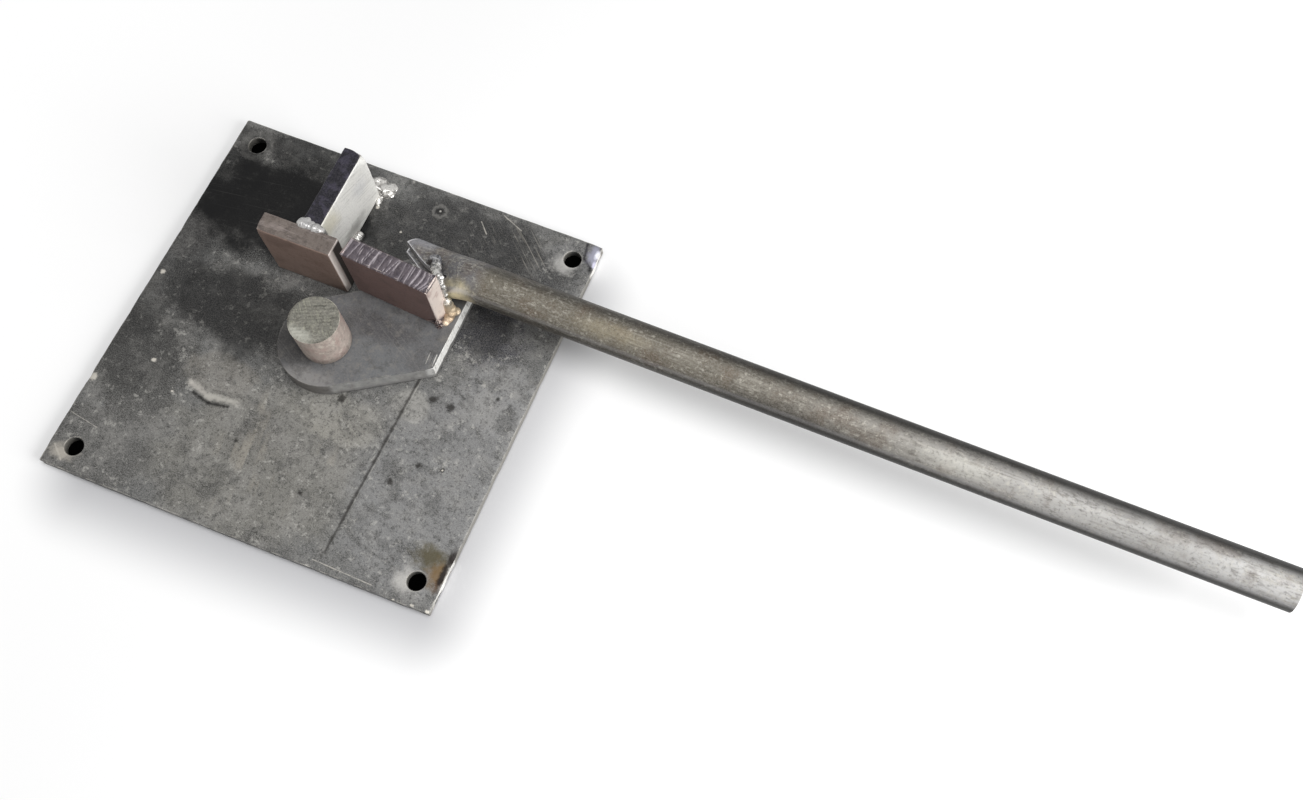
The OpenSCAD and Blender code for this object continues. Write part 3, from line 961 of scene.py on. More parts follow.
tree, given, result, place = new_group("facing", {"Side": (0.0, 0.0, 1.0), "From": 0.4, "To": 0.8})
turned_to = vector_calc(tree, "DOT_PRODUCT", place["Normal"], given["Side"], "Value")
tree.links.new(ease(tree, turned_to, given["From"], given["To"]), result["Mask"])

# %% [markdown]
# `worn_edge` finds edges without any painting: the Bevel node gives the normal that a rounded
# edge would have, and where that differs from the surface's own normal, there is an edge.
# Noise breaks the mask up, because handling rubs an edge bright in patches.
# %% Worn edges
tree, given, result, place = new_group("worn_edge", {
    "Width": 0.8 * mm, "Patch": 4 * mm, "From": 0.35, "To": 0.6})
soft_edge = add_node(tree, "Bevel", {"Radius": given["Width"]}, samples=6)
surface = tree.nodes.new("ShaderNodeNewGeometry")
same = vector_calc(tree, "DOT_PRODUCT", soft_edge.outputs["Normal"], surface.outputs["Normal"], "Value")
patch = noise_at(tree, place["Object"], given["Patch"], roughness=0.65)
worn = calc(tree, "MULTIPLY", ease(tree, same, 0.995, 0.86), ease(tree, patch, given["From"], given["To"]))
tree.links.new(worn, result["Mask"])
print("masks:", sorted(groups))


# %% [markdown]
# A recipe names a mask and its settings. These short functions write recipes, with places and
# sizes in millimetres. `low` and `high` are the noise values between which a mask runs from 0
# to 1, so a higher pair gives fewer marks, and a closer pair gives harder ones. The seed moves
# the noise, so that two masks of one size don't match.
# %% Recipes
def at(x, y, z=0.0):
    """A place in millimetres, as the metres that a mask takes."""
    return (x * mm, y * mm, z * mm)


def spin(degrees):
    """A turn about the upright axis."""
    return (0, 0, math.radians(degrees))


def clouds(size, seed, low, high, **more):
    return "clouds", {"Size": size * mm, "Seed": seed, "From": low, "To": high, **more}


def streaks(turn, size, seed, low, high, broken=20):
    return "streaks", {"Turn": turn, "Size": at(*size), "Seed": seed, "From": low, "To": high,
                       "Broken": broken * mm}


def spot(place, reach, ragged=0.4, grain=6, soft=0.6):
    return "spot", {"Centre": at(*place), "Reach": at(*reach), "Ragged": ragged, "Grain": grain * mm,
                    "Soft": soft}


def stroke(start, end, width, ragged, grain=3):
    return "stroke", {"Start": at(*start), "End": at(*end), "Width": width * mm, "Ragged": ragged,
                      "Grain": grain * mm}


def facing(side, low, high):
    return "facing", {"Side": side, "From": low, "To": high}


def worn_edge(width, patch, low, high):
    return "worn_edge", {"Width": width * mm, "Patch": patch * mm, "From": low, "To": high}


# %% [markdown]
# ## Finishes
# A finish is built up like the real surface: a ground colour, then layer on layer, each laid on
# where its mask is 1. `Coat` keeps the colour, the roughness and the height that have been
# reached so far, so a list of layers reads from the oldest to the newest. Each layer has a
# name, which its node wears as a label. `within` limits it to where other masks are 1 as well.
# %% Coat
class Coat:
    def __init__(self, name, colour, roughness, metallic):
        self.material = bpy.data.materials.new(name)
        self.material.use_nodes = True
        self.tree = self.material.node_tree
        self.shader = self.tree.nodes["Principled BSDF"]
        self.shader.inputs["Specular IOR Level"].default_value = 0.15
        self.colour = tone(*colour)
        self.roughness = roughness
        self.metallic = metallic
        self.height = 0.0

    def mask(self, label, recipe, output="Mask"):
        kind, settings = recipe
        made = add_node(self.tree, "Group", node_tree=groups[kind], label=label)
        for name, value in settings.items():
            made.inputs[name].default_value = value
        return made.outputs[output]

    def object_axes(self):
        """Where a point lies in its piece's own X, Y and Z."""
        place = self.tree.nodes.new("ShaderNodeTexCoord").outputs["Object"]
        return add_node(self.tree, "SeparateXYZ", {0: place}).outputs

    def layer(self, masks, colour=None, amount=1.0, roughness=None, raised=0.0, metallic=None):
        share = masks[0]
        for other in (*masks[1:], amount):
            share = calc(self.tree, "MULTIPLY", share, other)
        if colour is not None:
            self.colour = mix(self.tree, share, self.colour, tone(*colour), colour=True)
        if roughness is not None:
            self.roughness = mix(self.tree, share, self.roughness, roughness)
        if metallic is not None:
            self.metallic = mix(self.tree, share, self.metallic, metallic)
        if raised:
            self.height = calc(self.tree, "ADD", self.height, calc(self.tree, "MULTIPLY", share, raised))

    def lay(self, label, recipe, colour=None, amount=1.0, within=(), output="Mask", **how):
        """Makes a mask, lays a colour where it is 1, and gives the mask back for later layers."""
        made = self.mask(label, recipe, output)
        self.layer([made, *within], colour, amount, **how)
        return made

    def lay_spots(self, label, rows, grit, flat=(), within=()):
        """A spot for each row of place, reach, colour and amount. The grit of all of them is how
        ragged they are, their grain and their softness. Flat adds a height and the reach there."""
        for place, reach, colour, amount in rows:
            self.lay(label, spot(place + flat[:1], reach + flat[1:], *grit), colour, amount, within)

    def grain(self, dark, light, amount=0.5, size=0.7):
        """The fine pepper of scale that every piece of hot-rolled steel has."""
        self.lay("fine grain", clouds(size, 0, 0.35, 0.7, Detail=3), light, amount * 0.6, raised=0.03)
        self.lay("pepper", clouds(size * 1.9, 3, 0.5, 0.72, Detail=5), dark, amount)

    def onto(self, *pieces):
        for label, value in (("Base Color", self.colour), ("Roughness", self.roughness),
                             ("Metallic", self.metallic)):
            plug(self.tree, self.shader.inputs[label], value)
        bump = add_node(self.tree, "Bump", {"Distance": mm, "Height": self.height})
        self.tree.links.new(bump.outputs["Normal"], self.shader.inputs["Normal"])
        for piece in pieces:
            piece.data.materials.clear()
            piece.data.materials.append(self.material)
        print(self.material.name, len(self.tree.nodes), "nodes on", [piece.name for piece in pieces])


# %% [markdown]
# ## Base plate finish
# Hot-rolled sheet comes with a near-black scale. On the real tool it is still black behind the
# stop, where nothing touches it, and rubbed to a warm grey in front of the pin, where the work
# slides. The tones are laid on as large ragged patches first, then broken up by clouds, and the
# black parts are laid on once more. Some of these patches are painted shadow: the dark band left
# of the pin, and the blue-black patch right of the swing plate, which is partly scale and partly
# the tube's shadow painted on.
# %% Base plate scale
top = plate_top / mm
black = (12, 12, 13)
plate = Coat("plate_steel", (92, 92, 91), 0.52, 0.2)
# Painted shadow: the row at (-52, 4) darkens the band left of the pin, and the row at (66, 34) is partly
# blue-black scale and partly the tube's shadow painted on.
plate.lay_spots("patch", [  # place, reach, tone, amount
    ((-6, -64), (60, 46), (110, 108, 102), 0.85), ((76, -44), (46, 66), (120, 120, 120), 0.85),
    ((88, 74), (26, 32), (108, 108, 108), 0.8), ((-84, -88), (36, 26), (80, 79, 77), 0.8),
    ((-82, -36), (30, 36), (54, 53, 51), 0.9), ((-52, 4), (54, 24), (44, 43, 43), 0.92),
    ((34, 68), (62, 36), (56, 56, 57), 0.9), ((66, 34), (22, 20), (46, 46, 54), 0.9),
    ((86, 6), (24, 20), (132, 132, 132), 0.7), ((-62, 60), (58, 42), (17, 17, 17), 0.97),
    ((-94, 30), (12, 14), (78, 76, 75), 0.7), ((-42, -31), (20, 12), (112, 108, 101), 0.7),
    ((20, -30), (28, 16), (150, 147, 138), 0.55), ((48, -12), (12, 10), (160, 158, 152), 0.6),
    ((-72, -70), (18, 15), (80, 79, 77), 0.55), ((-12, -50), (13, 11), (94, 92, 88), 0.6),
    ((-88, 91), (13, 9), (54, 53, 53), 0.7)], (1, 18, 0.34), (2.5, 60))
plate.lay("drift", clouds(18, 1, 0.46, 0.6, Detail=9, Roughness=0.72), (148, 146, 142), 0.32)
plate.lay("shade", clouds(14, 2, 0.5, 0.62, Detail=9, Roughness=0.72), (34, 34, 34), 0.5, roughness=0.62)
plate.lay("smear", streaks(spin(22), (16, 4, 16), 3, 0.5, 0.68), (40, 40, 40), 0.42)
plate.lay("blotch", clouds(4.5, 4, 0.52, 0.62, Roughness=0.7), (44, 43, 41), 0.5)
plate.lay("pale blotch", clouds(3.5, 14, 0.56, 0.66, Roughness=0.7), (178, 176, 170), 0.5)
warm_part = plate.mask("warm part", spot((2, -58, 2.5), (38, 44, 60), 0.8, 12, 0.6))
plate.lay("warm", streaks(spin(80), (50, 7, 50), 21, 0.5, 0.62), (158, 151, 138), 0.45, [warm_part])
plate.grain((28, 28, 28), (170, 169, 166), 0.6, 0.55)
# Painted shadow again: the rows at (-50, 2) and (64, 36) deepen the shadow left of the pin and under the
# tube.
plate.lay_spots("black", [
    ((-58, 58), (54, 32), black, 0.93), ((-92, 66), (20, 26), black, 0.6), ((-58, 92), (48, 12), black, 0.6),
    ((-50, 2), (44, 26), black, 0.62), ((30, 72), (66, 34), black, 0.5), ((-84, -34), (22, 26), black, 0.3),
    ((-94, 6), (18, 44), black, 0.4), ((64, 36), (16, 14), black, 0.45)], (1, 14, 0.4), (2.5, 60))

# %% [markdown]
# Then come the marks that this one plate has: dark drips, pale chips and spatter, a ring round
# one hole, a punch mark, a scribed line and single scratches. The last rows of strokes are a
# painted highlight on the upper lip of the crescent dent and painted shade on its lower lip, and
# a dark arc at the top right corner.
# %% Base plate marks
for x, y, reach in ((16, -21, 3.2), (56.6, -5.4, 3), (66, -6.4, 3.2), (85, 6, 1.6), (76, -36, 1.6),
                    (55.6, -50, 2.4), (64.4, -38, 1.8), (20, -70, 1.6), (-20, -58, 1.4)):
    plate.lay("drip", spot((x, y, top), (reach, reach, reach), 1.4, 1.6, 0.7), (40, 38, 36), 0.85)
for x, y, wide, deep in (
        (-76, -36, 1.8, 1.3), (-96, 7, 1.6, 1.6), (-15, 78.6, 1.3, 1.3), (-98, -54, 2.2, 2.6),
        (76, -36, 0.6, 0.6), (-60, -47, 0.9, 0.7), (2, 70, 0.8, 0.8), (91, -98.8, 1.2, 0.8),
        (99, -99, 2, 1.2), (82, -99.5, 0.9, 0.6)):
    plate.lay("chip", spot((x, y, top), (wide, deep, wide), 1.2, 1.2), (205, 200, 190), 0.85, roughness=0.35)
for (x, y), reach, amount in (((15, 88), 3.3, 0.4), ((-hole_x / mm, hole_y / mm), 7.4, 0.16)):
    plate.lay("ring", spot((x, y, top), (reach, reach, reach), 1.3, 2.4, 0.4), (140, 138, 134), amount,
              output="Rim")
plate.lay("punch", spot((15, 88, top), (2.4, 2.4, 2.4), 0.8, 2, 0.5), (34, 33, 33), 0.8)
plate.lay("punch dot", spot((15.2, 88.2, top), (0.7, 0.7, 0.7)), (190, 188, 182), 0.8)
plate.lay("scribed", stroke((46, 9, top), (43.4, -91, top), 2.6, 0.9, 5), (46, 44, 42), 0.85, raised=-0.1)
plate.lay("beside scribed", stroke((47, 4, top), (44.8, -70, top), 1.3, 1.4, 9), (172, 170, 164), 0.65)
for start, end, wide in (((37, 90.5), (42.2, 85), 0.8), ((46, 98), (57.8, 93.2), 0.7),
                         ((-100, -73), (-83, -76), 0.6), ((-97, -90), (-90, -96), 1.2),
                         ((40, -96), (70, -97), 0.7)):
    plate.lay("scratch", stroke((*start, top), (*end, top), wide, 0.9, 2), (180, 176, 168), 0.75,
              roughness=0.38)
# The first four rows paint light and shade on the crescent dent: a highlight on its upper lip and shade below
# it.
for start, end, wide, colour in (
        ((-54, -39.6), (-42, -43.4), 4.6, (176, 172, 165)), ((-44, -43), (-28.5, -41), 4.2, (172, 169, 162)),
        ((-50.5, -43.8), (-41.5, -46.2), 2.8, (30, 29, 28)),
        ((-41.5, -46.2), (-32, -44.6), 2.4, (34, 33, 32)),
        ((91.5, 99.5), (93.4, 90.5), 2.2, (44, 42, 46)), ((93.4, 90.5), (98, 87), 2.2, (38, 36, 40))):
    plate.lay("lip", stroke((*start, top), (*end, top), wide, 0.8, 2), colour, 0.88, roughness=0.42)

# %% [markdown]
# Long scratches lie over all of that: a bundle at the top right, fine brushing, and a dark set
# across it. The stains are bright metal round two holes and the heat marks that the torch left
# at the right corners. Last come the bright sheared side, the rubbed rim and painted shade that
# darkens the walls of the holes.
# %% Base plate scratches, holes and heat
hatch_part = plate.mask("hatch part", spot((60, 81, 2.5), (36, 21, 20), soft=0.7))
plate.lay("hatch", streaks(spin(42), (30, 0.9, 30), 0, 0.52, 0.66), (150, 146, 138), 0.5, [hatch_part])
plate.lay("brushed", streaks(spin(-8), (50, 0.7, 50), 5, 0.6, 0.74), (150, 148, 144), 0.07, roughness=0.4)
plate.lay("crossed", streaks(spin(65), (40, 0.6, 40), 9, 0.62, 0.74), (50, 48, 46), 0.3, raised=-0.04)
plate.lay_spots("stain", [
    ((85.5, 84.5), (8.5, 8), (200, 198, 194), 0.6), ((-91, -91.5), (9, 6), (178, 172, 162), 0.75),
    ((83.5, -89.5), (9, 8), (202, 199, 194), 0.5), ((90, -76), (13, 8.5), (82, 76, 56), 0.85),
    ((95, -82), (6.5, 8.5), (112, 90, 60), 0.85), ((99, -72), (3.4, 7), (26, 18, 16), 0.92),
    ((97.5, -87), (2.6, 5), (92, 66, 40), 0.75), ((98, -82), (2.2, 12), (22, 17, 16), 0.95),
    ((97.5, 94.5), (5.5, 8), (152, 152, 166), 0.92), ((98.8, 95), (1.8, 3.4), (240, 240, 250), 0.9),
    ((99.6, 89), (1.6, 3), (214, 212, 232), 0.85), ((98.4, 85.6), (1.8, 2.2), (16, 14, 18), 0.9)],
    (1.3, 4, 0.8), (top, 8))
sheared = plate.lay("sheared", facing((1, 0, 0), 0.4, 0.8), (150, 147, 140), 0.8)
plate.lay_spots("torn", [((100, y), (6, reach), (247, 245, 241), 0.95) for y, reach in ((-85, 15), (90, 9))],
                (1.2, 2.4, 0.5), (top, 8), [sheared])
plate.lay("rubbed", worn_edge(1.1, 6, 0.42, 0.58), (200, 196, 188), 0.7, roughness=0.34)
# Painted shade: the walls of the four holes are darkened nearly to black.
inside_r = hole_r / mm + 0.3
for x in (-hole_x / mm, hole_x / mm):
    for y in (-hole_y / mm, hole_y / mm):
        plate.lay("inside", spot((x, y, 0), (inside_r, inside_r, 20), 0, soft=0.1), (8, 8, 8), 0.9)
plate.onto(base_plate)

# %% [markdown]
# ## Pin finish
# The pin's side was turned and has a pale, faintly streaked skin. Its top was sawn, and shows a
# greenish grey with fine ridges two ways over the deeper grooves that are in the mesh. Its foot is
# darkened by painted shade where it stands on the swing plate.
# %% Pin finish
head = head_r / mm
post = Coat("pin_steel", (196, 181, 172), 0.42, 0.25)
post.lay("turned", streaks(spin(0), (1.6, 1.6, 30), 2, 0.46, 0.62, 8), (146, 132, 125), 0.45)
post.lay("rosy", clouds(7, 6, 0.48, 0.62), (184, 154, 147), 0.5)
post.lay("pale", clouds(4, 7, 0.52, 0.66), (226, 220, 208), 0.6)
# Painted shade: the side darkens towards the foot, where the pin meets the swing plate.
post.lay("foot", spot((0, 0, swing_top / mm), (30, 30, 7), 0.3, soft=0.9), (60, 56, 54), 0.7)
face = [post.lay("top face", facing((0, 0, 1), 0.55, 0.8), (114, 113, 106), roughness=0.55)]
post.lay("mottle", clouds(2.6, 12, 0.48, 0.62, Roughness=0.7), (74, 74, 68), 0.55, face)
post.lay("ridges", streaks((0, 0, -saw_turn), (12, 1.1, 12), 0, 0.48, 0.6, 6), (62, 62, 57), 0.5, face,
         raised=-0.16)
post.lay("cross ridges", streaks(spin(50), (8, 0.6, 8), 4, 0.5, 0.64, 5), (148, 148, 132), 0.55, face)
post.lay("burr", spot((-head * 0.3, -head * 0.75, pin_high.z / mm), (11, 5, 5), 1, 2, 0.8), (190, 190, 180),
         0.6, face)
post.grain((74, 70, 62), (188, 182, 168), 0.4)
post.lay("rim", worn_edge(0.7, 4, 0.38, 0.55), (205, 198, 184), 0.7)
post.onto(pin)

# %% [markdown]
# ## Flat bar finishes
# The stop's broad sides keep the bar's brown scale. Its top is rubbed to a grey brown, and its
# end and edges show bright metal. Only the front third of the end is bright: the rest is painted
# shadow, where the pusher shades the end, so it is masked by its place, along Y and Z, which
# leaves a thin bright rim along the top.
# %% Stop finish
bar = Coat("bar_steel", (146, 124, 114), 0.48, 0.2)
bar.lay("drift", clouds(12, 1, 0.45, 0.65), (108, 90, 82), 0.5)
bar.lay("light", streaks((0, math.radians(12), 0), (30, 2, 2), 3, 0.5, 0.66), (162, 139, 128), 0.4)
face = [bar.lay("top face", facing((0, 0, 1), 0.6, 0.85), (110, 103, 98), 0.95)]
bar.lay("top drift", clouds(4, 8, 0.48, 0.6, Roughness=0.7), (78, 72, 70), 0.6, face)
bar.lay("top light", streaks(spin(0), (12, 1.4, 10), 5, 0.5, 0.62, 8), (158, 148, 144), 0.5, face)
bar.lay("back", facing((0, 1, 0), 0.6, 0.85), (66, 60, 58), 0.7)
bar.grain((64, 54, 50), (150, 134, 124), 0.34)
bar_end = bar.lay("end", facing((1, 0, 0), 0.5, 0.8), (250, 240, 233), 0.98, roughness=0.36)
axes = bar.object_axes()
# Painted shadow: the rear part of the end, which the pusher shades, is darkened, all but a thin rim at the
# top.
end_shadow = ease(bar.tree, axes["Y"], stop_low.y + 3.2 * mm, stop_low.y + 4.2 * mm)
end_low = ease(bar.tree, axes["Z"], stop_high.z - 0.8 * mm, stop_high.z - 1.8 * mm)
bar.layer([bar_end, end_shadow, end_low], (38, 29, 27), 0.92)
bar.lay("rim", worn_edge(1.3, 5, 0.3, 0.5), (206, 196, 188), 0.75, roughness=0.34)
bar.onto(stop)

# %% [markdown]
# The pusher was cut from the same bar: its front is a darker brown, its top has a purple bloom
# from the torch with pale ridges between the drag lines, and its end is bright. The ridges have
# to lie where the grooves are in the mesh. So the same formula that pressed the grooves is
# stored on the pusher's points as an attribute, and the finish reads that.
# %% Pusher finish
cut_bar = Coat("cut_bar_steel", (120, 98, 93), 0.46, 0.2)
cut_bar.lay("drift", clouds(10, 2, 0.46, 0.64), (98, 79, 75), 0.5)
face = [cut_bar.lay("top face", facing((0, 0, 1), 0.35, 0.7), (86, 80, 86), roughness=0.42)]
cut_bar.lay("bloom", clouds(4, 5, 0.48, 0.62), (58, 53, 60), 0.7, face)
ridge = add_node(cut_bar.tree, "Attribute", attribute_name="drag").outputs["Fac"]
cut_bar.layer([ease(cut_bar.tree, ridge, 0.2, 0.7), *face], (172, 165, 170), 0.75)
cut_bar.grain((50, 44, 44), (142, 130, 128), 0.3)
end_side = (math.cos(push_turn), -math.sin(push_turn), 0)
face = [cut_bar.lay("end", facing(end_side, 0.5, 0.8), (233, 220, 211), 0.94, roughness=0.36)]
cut_bar.lay("end scale", clouds(5, 7, 0.5, 0.64), (190, 168, 160), 0.7, face)
cut_bar.lay("rim", worn_edge(1.1, 3, 0.46, 0.6), (190, 178, 172), 0.5, roughness=0.34)
cut_bar.onto(pusher)

# %% [markdown]
# The rib is blue-black, with one side ground to bright metal. On that side the weld's heat left
# a straw tint near the stop, and it is darker towards the foot.
# %% Rib finish
back_bar = Coat("rib_steel", (32, 31, 37), 0.42, 0.25)
back_bar.lay("scale", clouds(5, 1, 0.46, 0.62), (66, 63, 76), 0.7)
face = [back_bar.lay("ground side", facing((1, 0, 0), 0.4, 0.8), (246, 245, 240), roughness=0.34)]
back_bar.lay("ground lines", streaks((math.radians(24), 0, 0), (30, 30, 0.9), 0, 0.45, 0.64),
             (206, 204, 198), 0.5, face, raised=-0.03)
side = rib_high.x / mm
back_bar.lay_spots("tint", [
    ((side, 47, 38), (20, 12, 12), (220, 212, 178), 0.45), ((side, 74, 30), (20, 9, 9), (212, 213, 216), 0.4),
    ((side, 58, 12), (20, 16, 6), (150, 148, 144), 0.7), ((side, 44, 10), (20, 6, 12), (112, 106, 94), 0.6)],
    (0.8, 7, 0.8), within=face)
back_bar.grain((30, 28, 34), (130, 128, 132), 0.2)
back_bar.lay("rim", worn_edge(1.1, 4, 0.44, 0.58), (214, 208, 196), 0.6)
back_bar.onto(rib)

# %% [markdown]
# ## Swing plate finish
# Use keeps the top of the swing plate rubbed to an even dark grey. Its straight edge towards the
# handle is a bright cut, with painted shadow along its foot. Three short nicks cross the toe, and
# the middle one is dark. Left of the pin the top is darkened by painted shadow of the pin.
# %% Swing plate finish
cam = Coat("swing_steel", (102, 103, 105), 0.5, 0.15)
cam.lay("drift", clouds(16, 3, 0.44, 0.64), (84, 82, 82), 0.5)
# The first patch, dark at the pin's left, is painted shadow of the pin.
cam.lay_spots("patch", [
    ((-14, -8), (20, 18), (62, 60, 60), 0.7), ((24, -2), (26, 14), (106, 108, 110), 0.7),
    ((0, -20), (18, 7), (136, 134, 132), 0.7), ((20, 16), (24, 9), (70, 68, 70), 0.7)],
    (0.8, 10, 0.6), (15, 30))
cam.lay("blotch", clouds(4, 4, 0.5, 0.68), (130, 126, 120), 0.4)
cam.lay("dark", clouds(6, 11, 0.5, 0.64, Roughness=0.7), (64, 62, 62), 0.45)
cam.lay("streaks", streaks(spin(30), (40, 0.8, 40), 2, 0.56, 0.7), (140, 138, 134), 0.2, roughness=0.34)
cam.lay("front side", facing((-0.5, -0.85, 0), 0.3, 0.7), (104, 100, 96), 0.6)
face = [cam.lay("cut edge", facing((1, 0, 0), 0.45, 0.7), (248, 247, 243), 0.96, roughness=0.3, metallic=0.0)]
# Painted shadow: the lowest part of the bright cut is darkened along its foot.
cut_foot_shadow = ease(cam.tree, cam.object_axes()["Z"], swing_low.z + 3.2 * mm, swing_low.z + 2.2 * mm)
cam.layer([cut_foot_shadow, *face], (30, 28, 28), 0.85, roughness=0.6)
cam.lay("cut lines", streaks(spin(0), (30, 1.2, 12), 6, 0.5, 0.62, 6), (120, 112, 108), 0.6, face)
for back, wide, colour in ((1.2, 0.7, (228, 226, 220)), (2.6, 0.6, (52, 50, 48)),
                           (4.6, 0.5, (190, 188, 182))):
    x, y, z = toe.x / mm - back, toe.y / mm, swing_top / mm
    cam.lay("nick", stroke((x, y + 1, z), (x - 0.4, y + 7, z), wide, 0.9), colour, 0.85, roughness=0.3)
cam.grain((66, 64, 62), (148, 145, 140), 0.3)
# Painted shadow of the pin, laid on once more over its left side.
cam.lay("painted pin shadow", spot((-15, -8, 15), (18, 16, 30), 0.8, 10, 0.7), (12, 12, 12), 0.4)
cam.lay("rim", worn_edge(0.8, 7, 0.42, 0.56), (168, 164, 156), 0.55, roughness=0.34)
cam.onto(swing)

# %% [markdown]
# ## Handle finish
# The tube is bare drawn steel that hands have browned near the tool and rubbed to silver at the
# far end. The press and the weld's heat left the flat root blue-grey with a straw tint beside
# the weld. Fine scratches, drawing lines and flecks run along its length. What changes along
# the tube is eased by X, from one place to another. Its sides and underside are darkened as
# painted shade, most of all away from the tool, and a few patches paint shade and highlight along
# it.
# %% Handle finish
pipe = Coat("tube_steel", (116, 111, 101), 0.46, 0.12)
tube_x = pipe.object_axes()["X"]
along_tube = (0, rise, lean)
for low, high, colour, amount in ((0.17, 0.44, (192, 191, 190), 1), (0.24, 0.1, (100, 94, 82), 0.6),
                                  (0.066, 0.054, (112, 113, 120), 0.9)):
    pipe.layer([ease(pipe.tree, tube_x, low, high)], colour, amount)
# Painted shade: the sides and the underside, facing away from the top, are darkened.
under = pipe.lay("painted side shade", facing((0, -0.42, 0.9), 0.97, 0.5), (50, 48, 46), 0.45)
pipe.lay("brown", clouds(12, 1, 0.48, 0.66), (92, 74, 58), 0.45)
pipe.lay("drawn dark", streaks(along_tube, (60, 1.2, 1.2), 3, 0.48, 0.64), (80, 74, 64), 0.4)
pipe.lay("drawn light", streaks(along_tube, (30, 0.9, 0.9), 8, 0.52, 0.68), (172, 168, 158), 0.4,
         roughness=0.34)
pipe.lay("speckle", clouds(2.2, 9, 0.54, 0.66, Roughness=0.72), (200, 196, 184), 0.5)
pipe.lay("fleck", streaks(along_tube, (3.6, 1.2, 1.2), 13, 0.48, 0.64, 10), (62, 55, 48), 0.42)
pipe.lay("bright fleck", streaks(along_tube, (2.8, 1, 1), 17, 0.52, 0.68, 12), (206, 202, 192), 0.3,
         roughness=0.34)
# Among these rows, the ones at 215 and 385 mm along X paint shade on the near side and the upper near side,
# and the one at 299 mm paints a highlight on the top.
pipe.lay_spots("tint", [
    ((52, 41, 28), (12, 8, 14), (232, 220, 180), 0.9), ((58, 42, 24), (9, 6, 12), (150, 126, 84), 0.5),
    ((40, 44, 20), (9, 6, 9), (96, 92, 104), 0.6), ((22, 62, 22), (12, 6, 8), (146, 148, 156), 0.6),
    ((66, 52, 38), (2, 1.4, 3), (44, 40, 36), 0.85), ((69, 47, 38), (2.2, 1.6, 3), (44, 40, 36), 0.85),
    ((62, 56, 36), (4, 4, 5), (70, 68, 76), 0.6), ((130, 44, 42), (26, 6, 12), (152, 142, 118), 0.5),
    ((215, 34, 43), (70, 7, 12), (58, 54, 50), 0.7), ((385, 33, 58), (48, 14, 14), (150, 149, 147), 0.45),
    ((299, 37, 53), (26, 6, 8), (216, 214, 206), 0.4)], (0.8, 5, 0.8))
pipe.grain((56, 53, 48), (176, 172, 164), 0.42)
# The painted side shade is laid on once more, deepest on the round part away from the tool.
round_part = ease(pipe.tree, tube_x, 0.05, 0.075)
from_tool = ease(pipe.tree, tube_x, 0.1, 0.24, 0.62, 1.0)
pipe.layer([under, round_part, from_tool], (20, 19, 18), 0.9)
pipe.lay("rim", worn_edge(0.8, 5, 0.42, 0.56), (200, 196, 186), 0.6)
mitre_side = (-0.453, -0.817, 0.358)
pipe.lay("mitre", facing(mitre_side, 0.9, 0.97), (214, 214, 218), 0.9, roughness=0.34, metallic=1.0)
lip_part = ease(pipe.tree, tube_x, 0.046, 0.04)
pipe.lay("lip", worn_edge(1.5, 4, 0.25, 0.42), (222, 222, 224), 0.9, [lip_part], roughness=0.34, metallic=0.9)
pipe.onto(handle)

# %% [markdown]
# ## Weld finish
# Weld metal freezes bright, with dark slag left in the creases between the drops. The welds on
# the pusher's outer end were never brushed and keep a straw and brown tint. The arched run has
# deeper creases, darkened by slag and painted shade together, and painted glints.
# %% Weld finish
bead_coat = Coat("weld_metal", (196, 194, 190), 0.3, 0.8)
bead_coat.lay("slag", clouds(2.4, 1, 0.5, 0.62), (96, 93, 90), 0.7, roughness=0.5, raised=-0.12)
bead_coat.lay("pits", clouds(0.9, 2, 0.58, 0.68), (62, 58, 54), 0.7, raised=-0.1)
bead_coat.lay_spots("tint", [
    ((50, 34, 20), (10, 10, 10), (222, 200, 152), 0.6), ((51, 31, 17), (6, 6, 6), (150, 108, 58), 0.45),
    ((-29, 62, 6), (8, 40, 8), (92, 90, 90), 0.6), ((9, 40, 16), (14, 8, 8), (84, 82, 84), 0.7),
    ((37, 50, 30), (12, 11, 12), (112, 114, 124), 0.85),
    ((47.5, 37.6, 33), (3.5, 4, 8), (232, 231, 226), 0.85),
    ((-22, 42, 46), (12, 8, 8), (150, 150, 152), 0.6)], (0.8, 3, 0.8))
bead_coat.lay("end part", spot((50, 33, 19), (9, 10, 9), 0.5, 3, 0.5), (206, 184, 160), 0.5, roughness=0.5,
              metallic=0.35)
arch_part = [bead_coat.mask("arch part", spot((38, 47, 34), (12, 11, 12), soft=0.3))]
# Dark slag and painted shade in the creases, then painted glints on the arched run.
bead_coat.lay("slag and painted crease shade", clouds(2.8, 5, 0.5, 0.58, Detail=3), (34, 34, 37), 0.8, arch_part)
bead_coat.lay("painted glints", clouds(2, 15, 0.58, 0.66, Detail=3), (236, 236, 238), 0.9, arch_part, roughness=0.25)
plug_bead = [piece for piece in bpy.context.scene.objects if piece.name.startswith("pin_plug_weld")]
bead_coat.onto(*welds, *plug_bead)

# %% [markdown]
# ## Floor
# The photograph was taken on white paper near a window. The floor is a pale plane just under the
# plate, and its colour depends on how far a point lies from the plate: nearly black under it, a
# painted shade that shows in the open holes, grey close beside it, a painted soft shadow that
# reaches furthest in front and to the right, and pale further out. It also gives off a little
# light that only the camera and reflections see, and more of it with distance, so the paper
# comes out white and still takes the tool's soft shadow.
# %% Floor
def seen_directly(tree):
    """1 for a ray that the eye follows, straight, by reflection or through glass, and else 0."""
    ray = tree.nodes.new("ShaderNodeLightPath").outputs
    seen = calc(tree, "MAXIMUM", ray["Is Camera Ray"], ray["Is Glossy Ray"])
    return calc(tree, "MAXIMUM", seen, ray["Is Transmission Ray"])


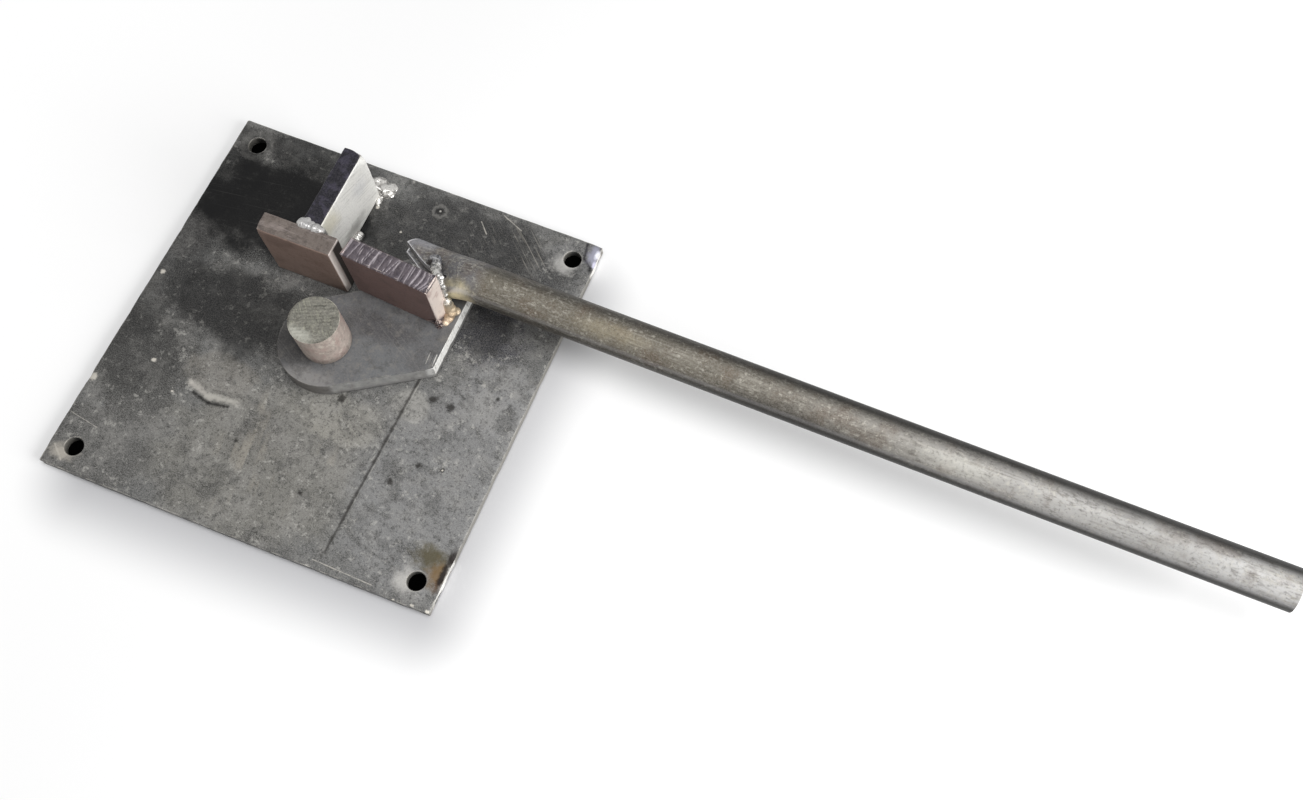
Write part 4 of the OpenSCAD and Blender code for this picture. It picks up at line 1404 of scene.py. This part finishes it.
floor_size = 6
floor_gap = 0.3 * mm
bpy.ops.mesh.primitive_plane_add(size=floor_size, location=(0, 0, -floor_gap))
floor = bpy.context.object
floor.name = "floor"
paper = bpy.data.materials.new("paper")
paper.use_nodes = True
tree = paper.node_tree
white = tree.nodes["Principled BSDF"].inputs
white["Roughness"].default_value = 0.9
white["Specular IOR Level"].default_value = 0.0
white["Emission Color"].default_value = (1, 1, 1, 1)
place = tree.nodes.new("ShaderNodeTexCoord").outputs["Object"]
axes = add_node(tree, "SeparateXYZ", {0: place}).outputs
plate_half = plate_side / 2
from_middle = calc(tree, "MAXIMUM", calc(tree, "ABSOLUTE", axes["X"]), calc(tree, "ABSOLUTE", axes["Y"]))
open_paper = ease(tree, from_middle, plate_half - 4 * mm, plate_half - 1 * mm)


def past_shade(axis, middle):
    """The square of how far a point lies past the shaded square, whose middle is off the plate's."""
    away = calc(tree, "ABSOLUTE", calc(tree, "SUBTRACT", axis, middle))
    gap = calc(tree, "SUBTRACT", away, plate_half - 15 * mm)
    return calc(tree, "POWER", calc(tree, "MAXIMUM", gap, 0.0), 2.0)


past = calc(tree, "ADD", past_shade(axes["X"], 10 * mm), past_shade(axes["Y"], -14 * mm))
shaded = ease(tree, calc(tree, "SQRT", past), 0.0, 38 * mm)
# Painted shadow: the paper greys close beside the plate, and under the plate it is painted nearly black.
paper_shadow = mix(tree, shaded, tone(196, 196, 198), tone(228, 228, 228), colour=True)
plug(tree, white["Base Color"], mix(tree, open_paper, tone(4, 4, 4), paper_shadow, colour=True))
near_glow = ease(tree, axes["X"], 0.0, -0.3, 0.2, 0.32)
far_glow = ease(tree, from_middle, 0.5, 1.5, 0.0, 0.8)
shown = calc(tree, "MULTIPLY", calc(tree, "MULTIPLY", seen_directly(tree), shaded), open_paper)
glow = calc(tree, "MULTIPLY", calc(tree, "ADD", near_glow, far_glow), shown)
plug(tree, white["Emission Strength"], glow)
floor.data.materials.append(paper)


# %% [markdown]
# ## Lamps
# Two large round lamps give the soft light. The key stands to the right and rather low, so that
# the plate's right side and the ends of the bars shine. The window is nearly overhead.
# Each lamp is turned so that its own Z points away from the tool, as a lamp shines along -Z.
# %% Lamps
lamp_distance = 1.5


def lamp(name, way, size, energy):
    data = bpy.data.lights.new(name, "AREA")
    data.shape = "DISK"
    data.size = size
    data.energy = energy
    made = bpy.data.objects.new(name, data)
    bpy.context.scene.collection.objects.link(made)
    made.location = Vector(way).normalized() * lamp_distance
    made.rotation_euler = Vector(way).to_track_quat("Z", "Y").to_euler()


lamp("key", (0.9, -0.08, 0.45), 0.9, 17)
lamp("window", (0.14, 0.0, 0.98), 0.8, 11)

# %% [markdown]
# ## Room
# The room is white to the eye and in reflections, but lights the tool only dimly, which leaves
# the shadows to the lamps. The Standard view transform keeps the tones as they are set.
# %% Room
world = bpy.data.worlds.new("room")
bpy.context.scene.world = world
world.use_nodes = True
tree = world.node_tree
room = tree.nodes["Background"].inputs
room["Color"].default_value = (1, 1, 1, 1)
plug(tree, room["Strength"], ease(tree, seen_directly(tree), 0.0, 1.0, 0.28, 1.0))
bpy.context.scene.view_settings.view_transform = "Standard"
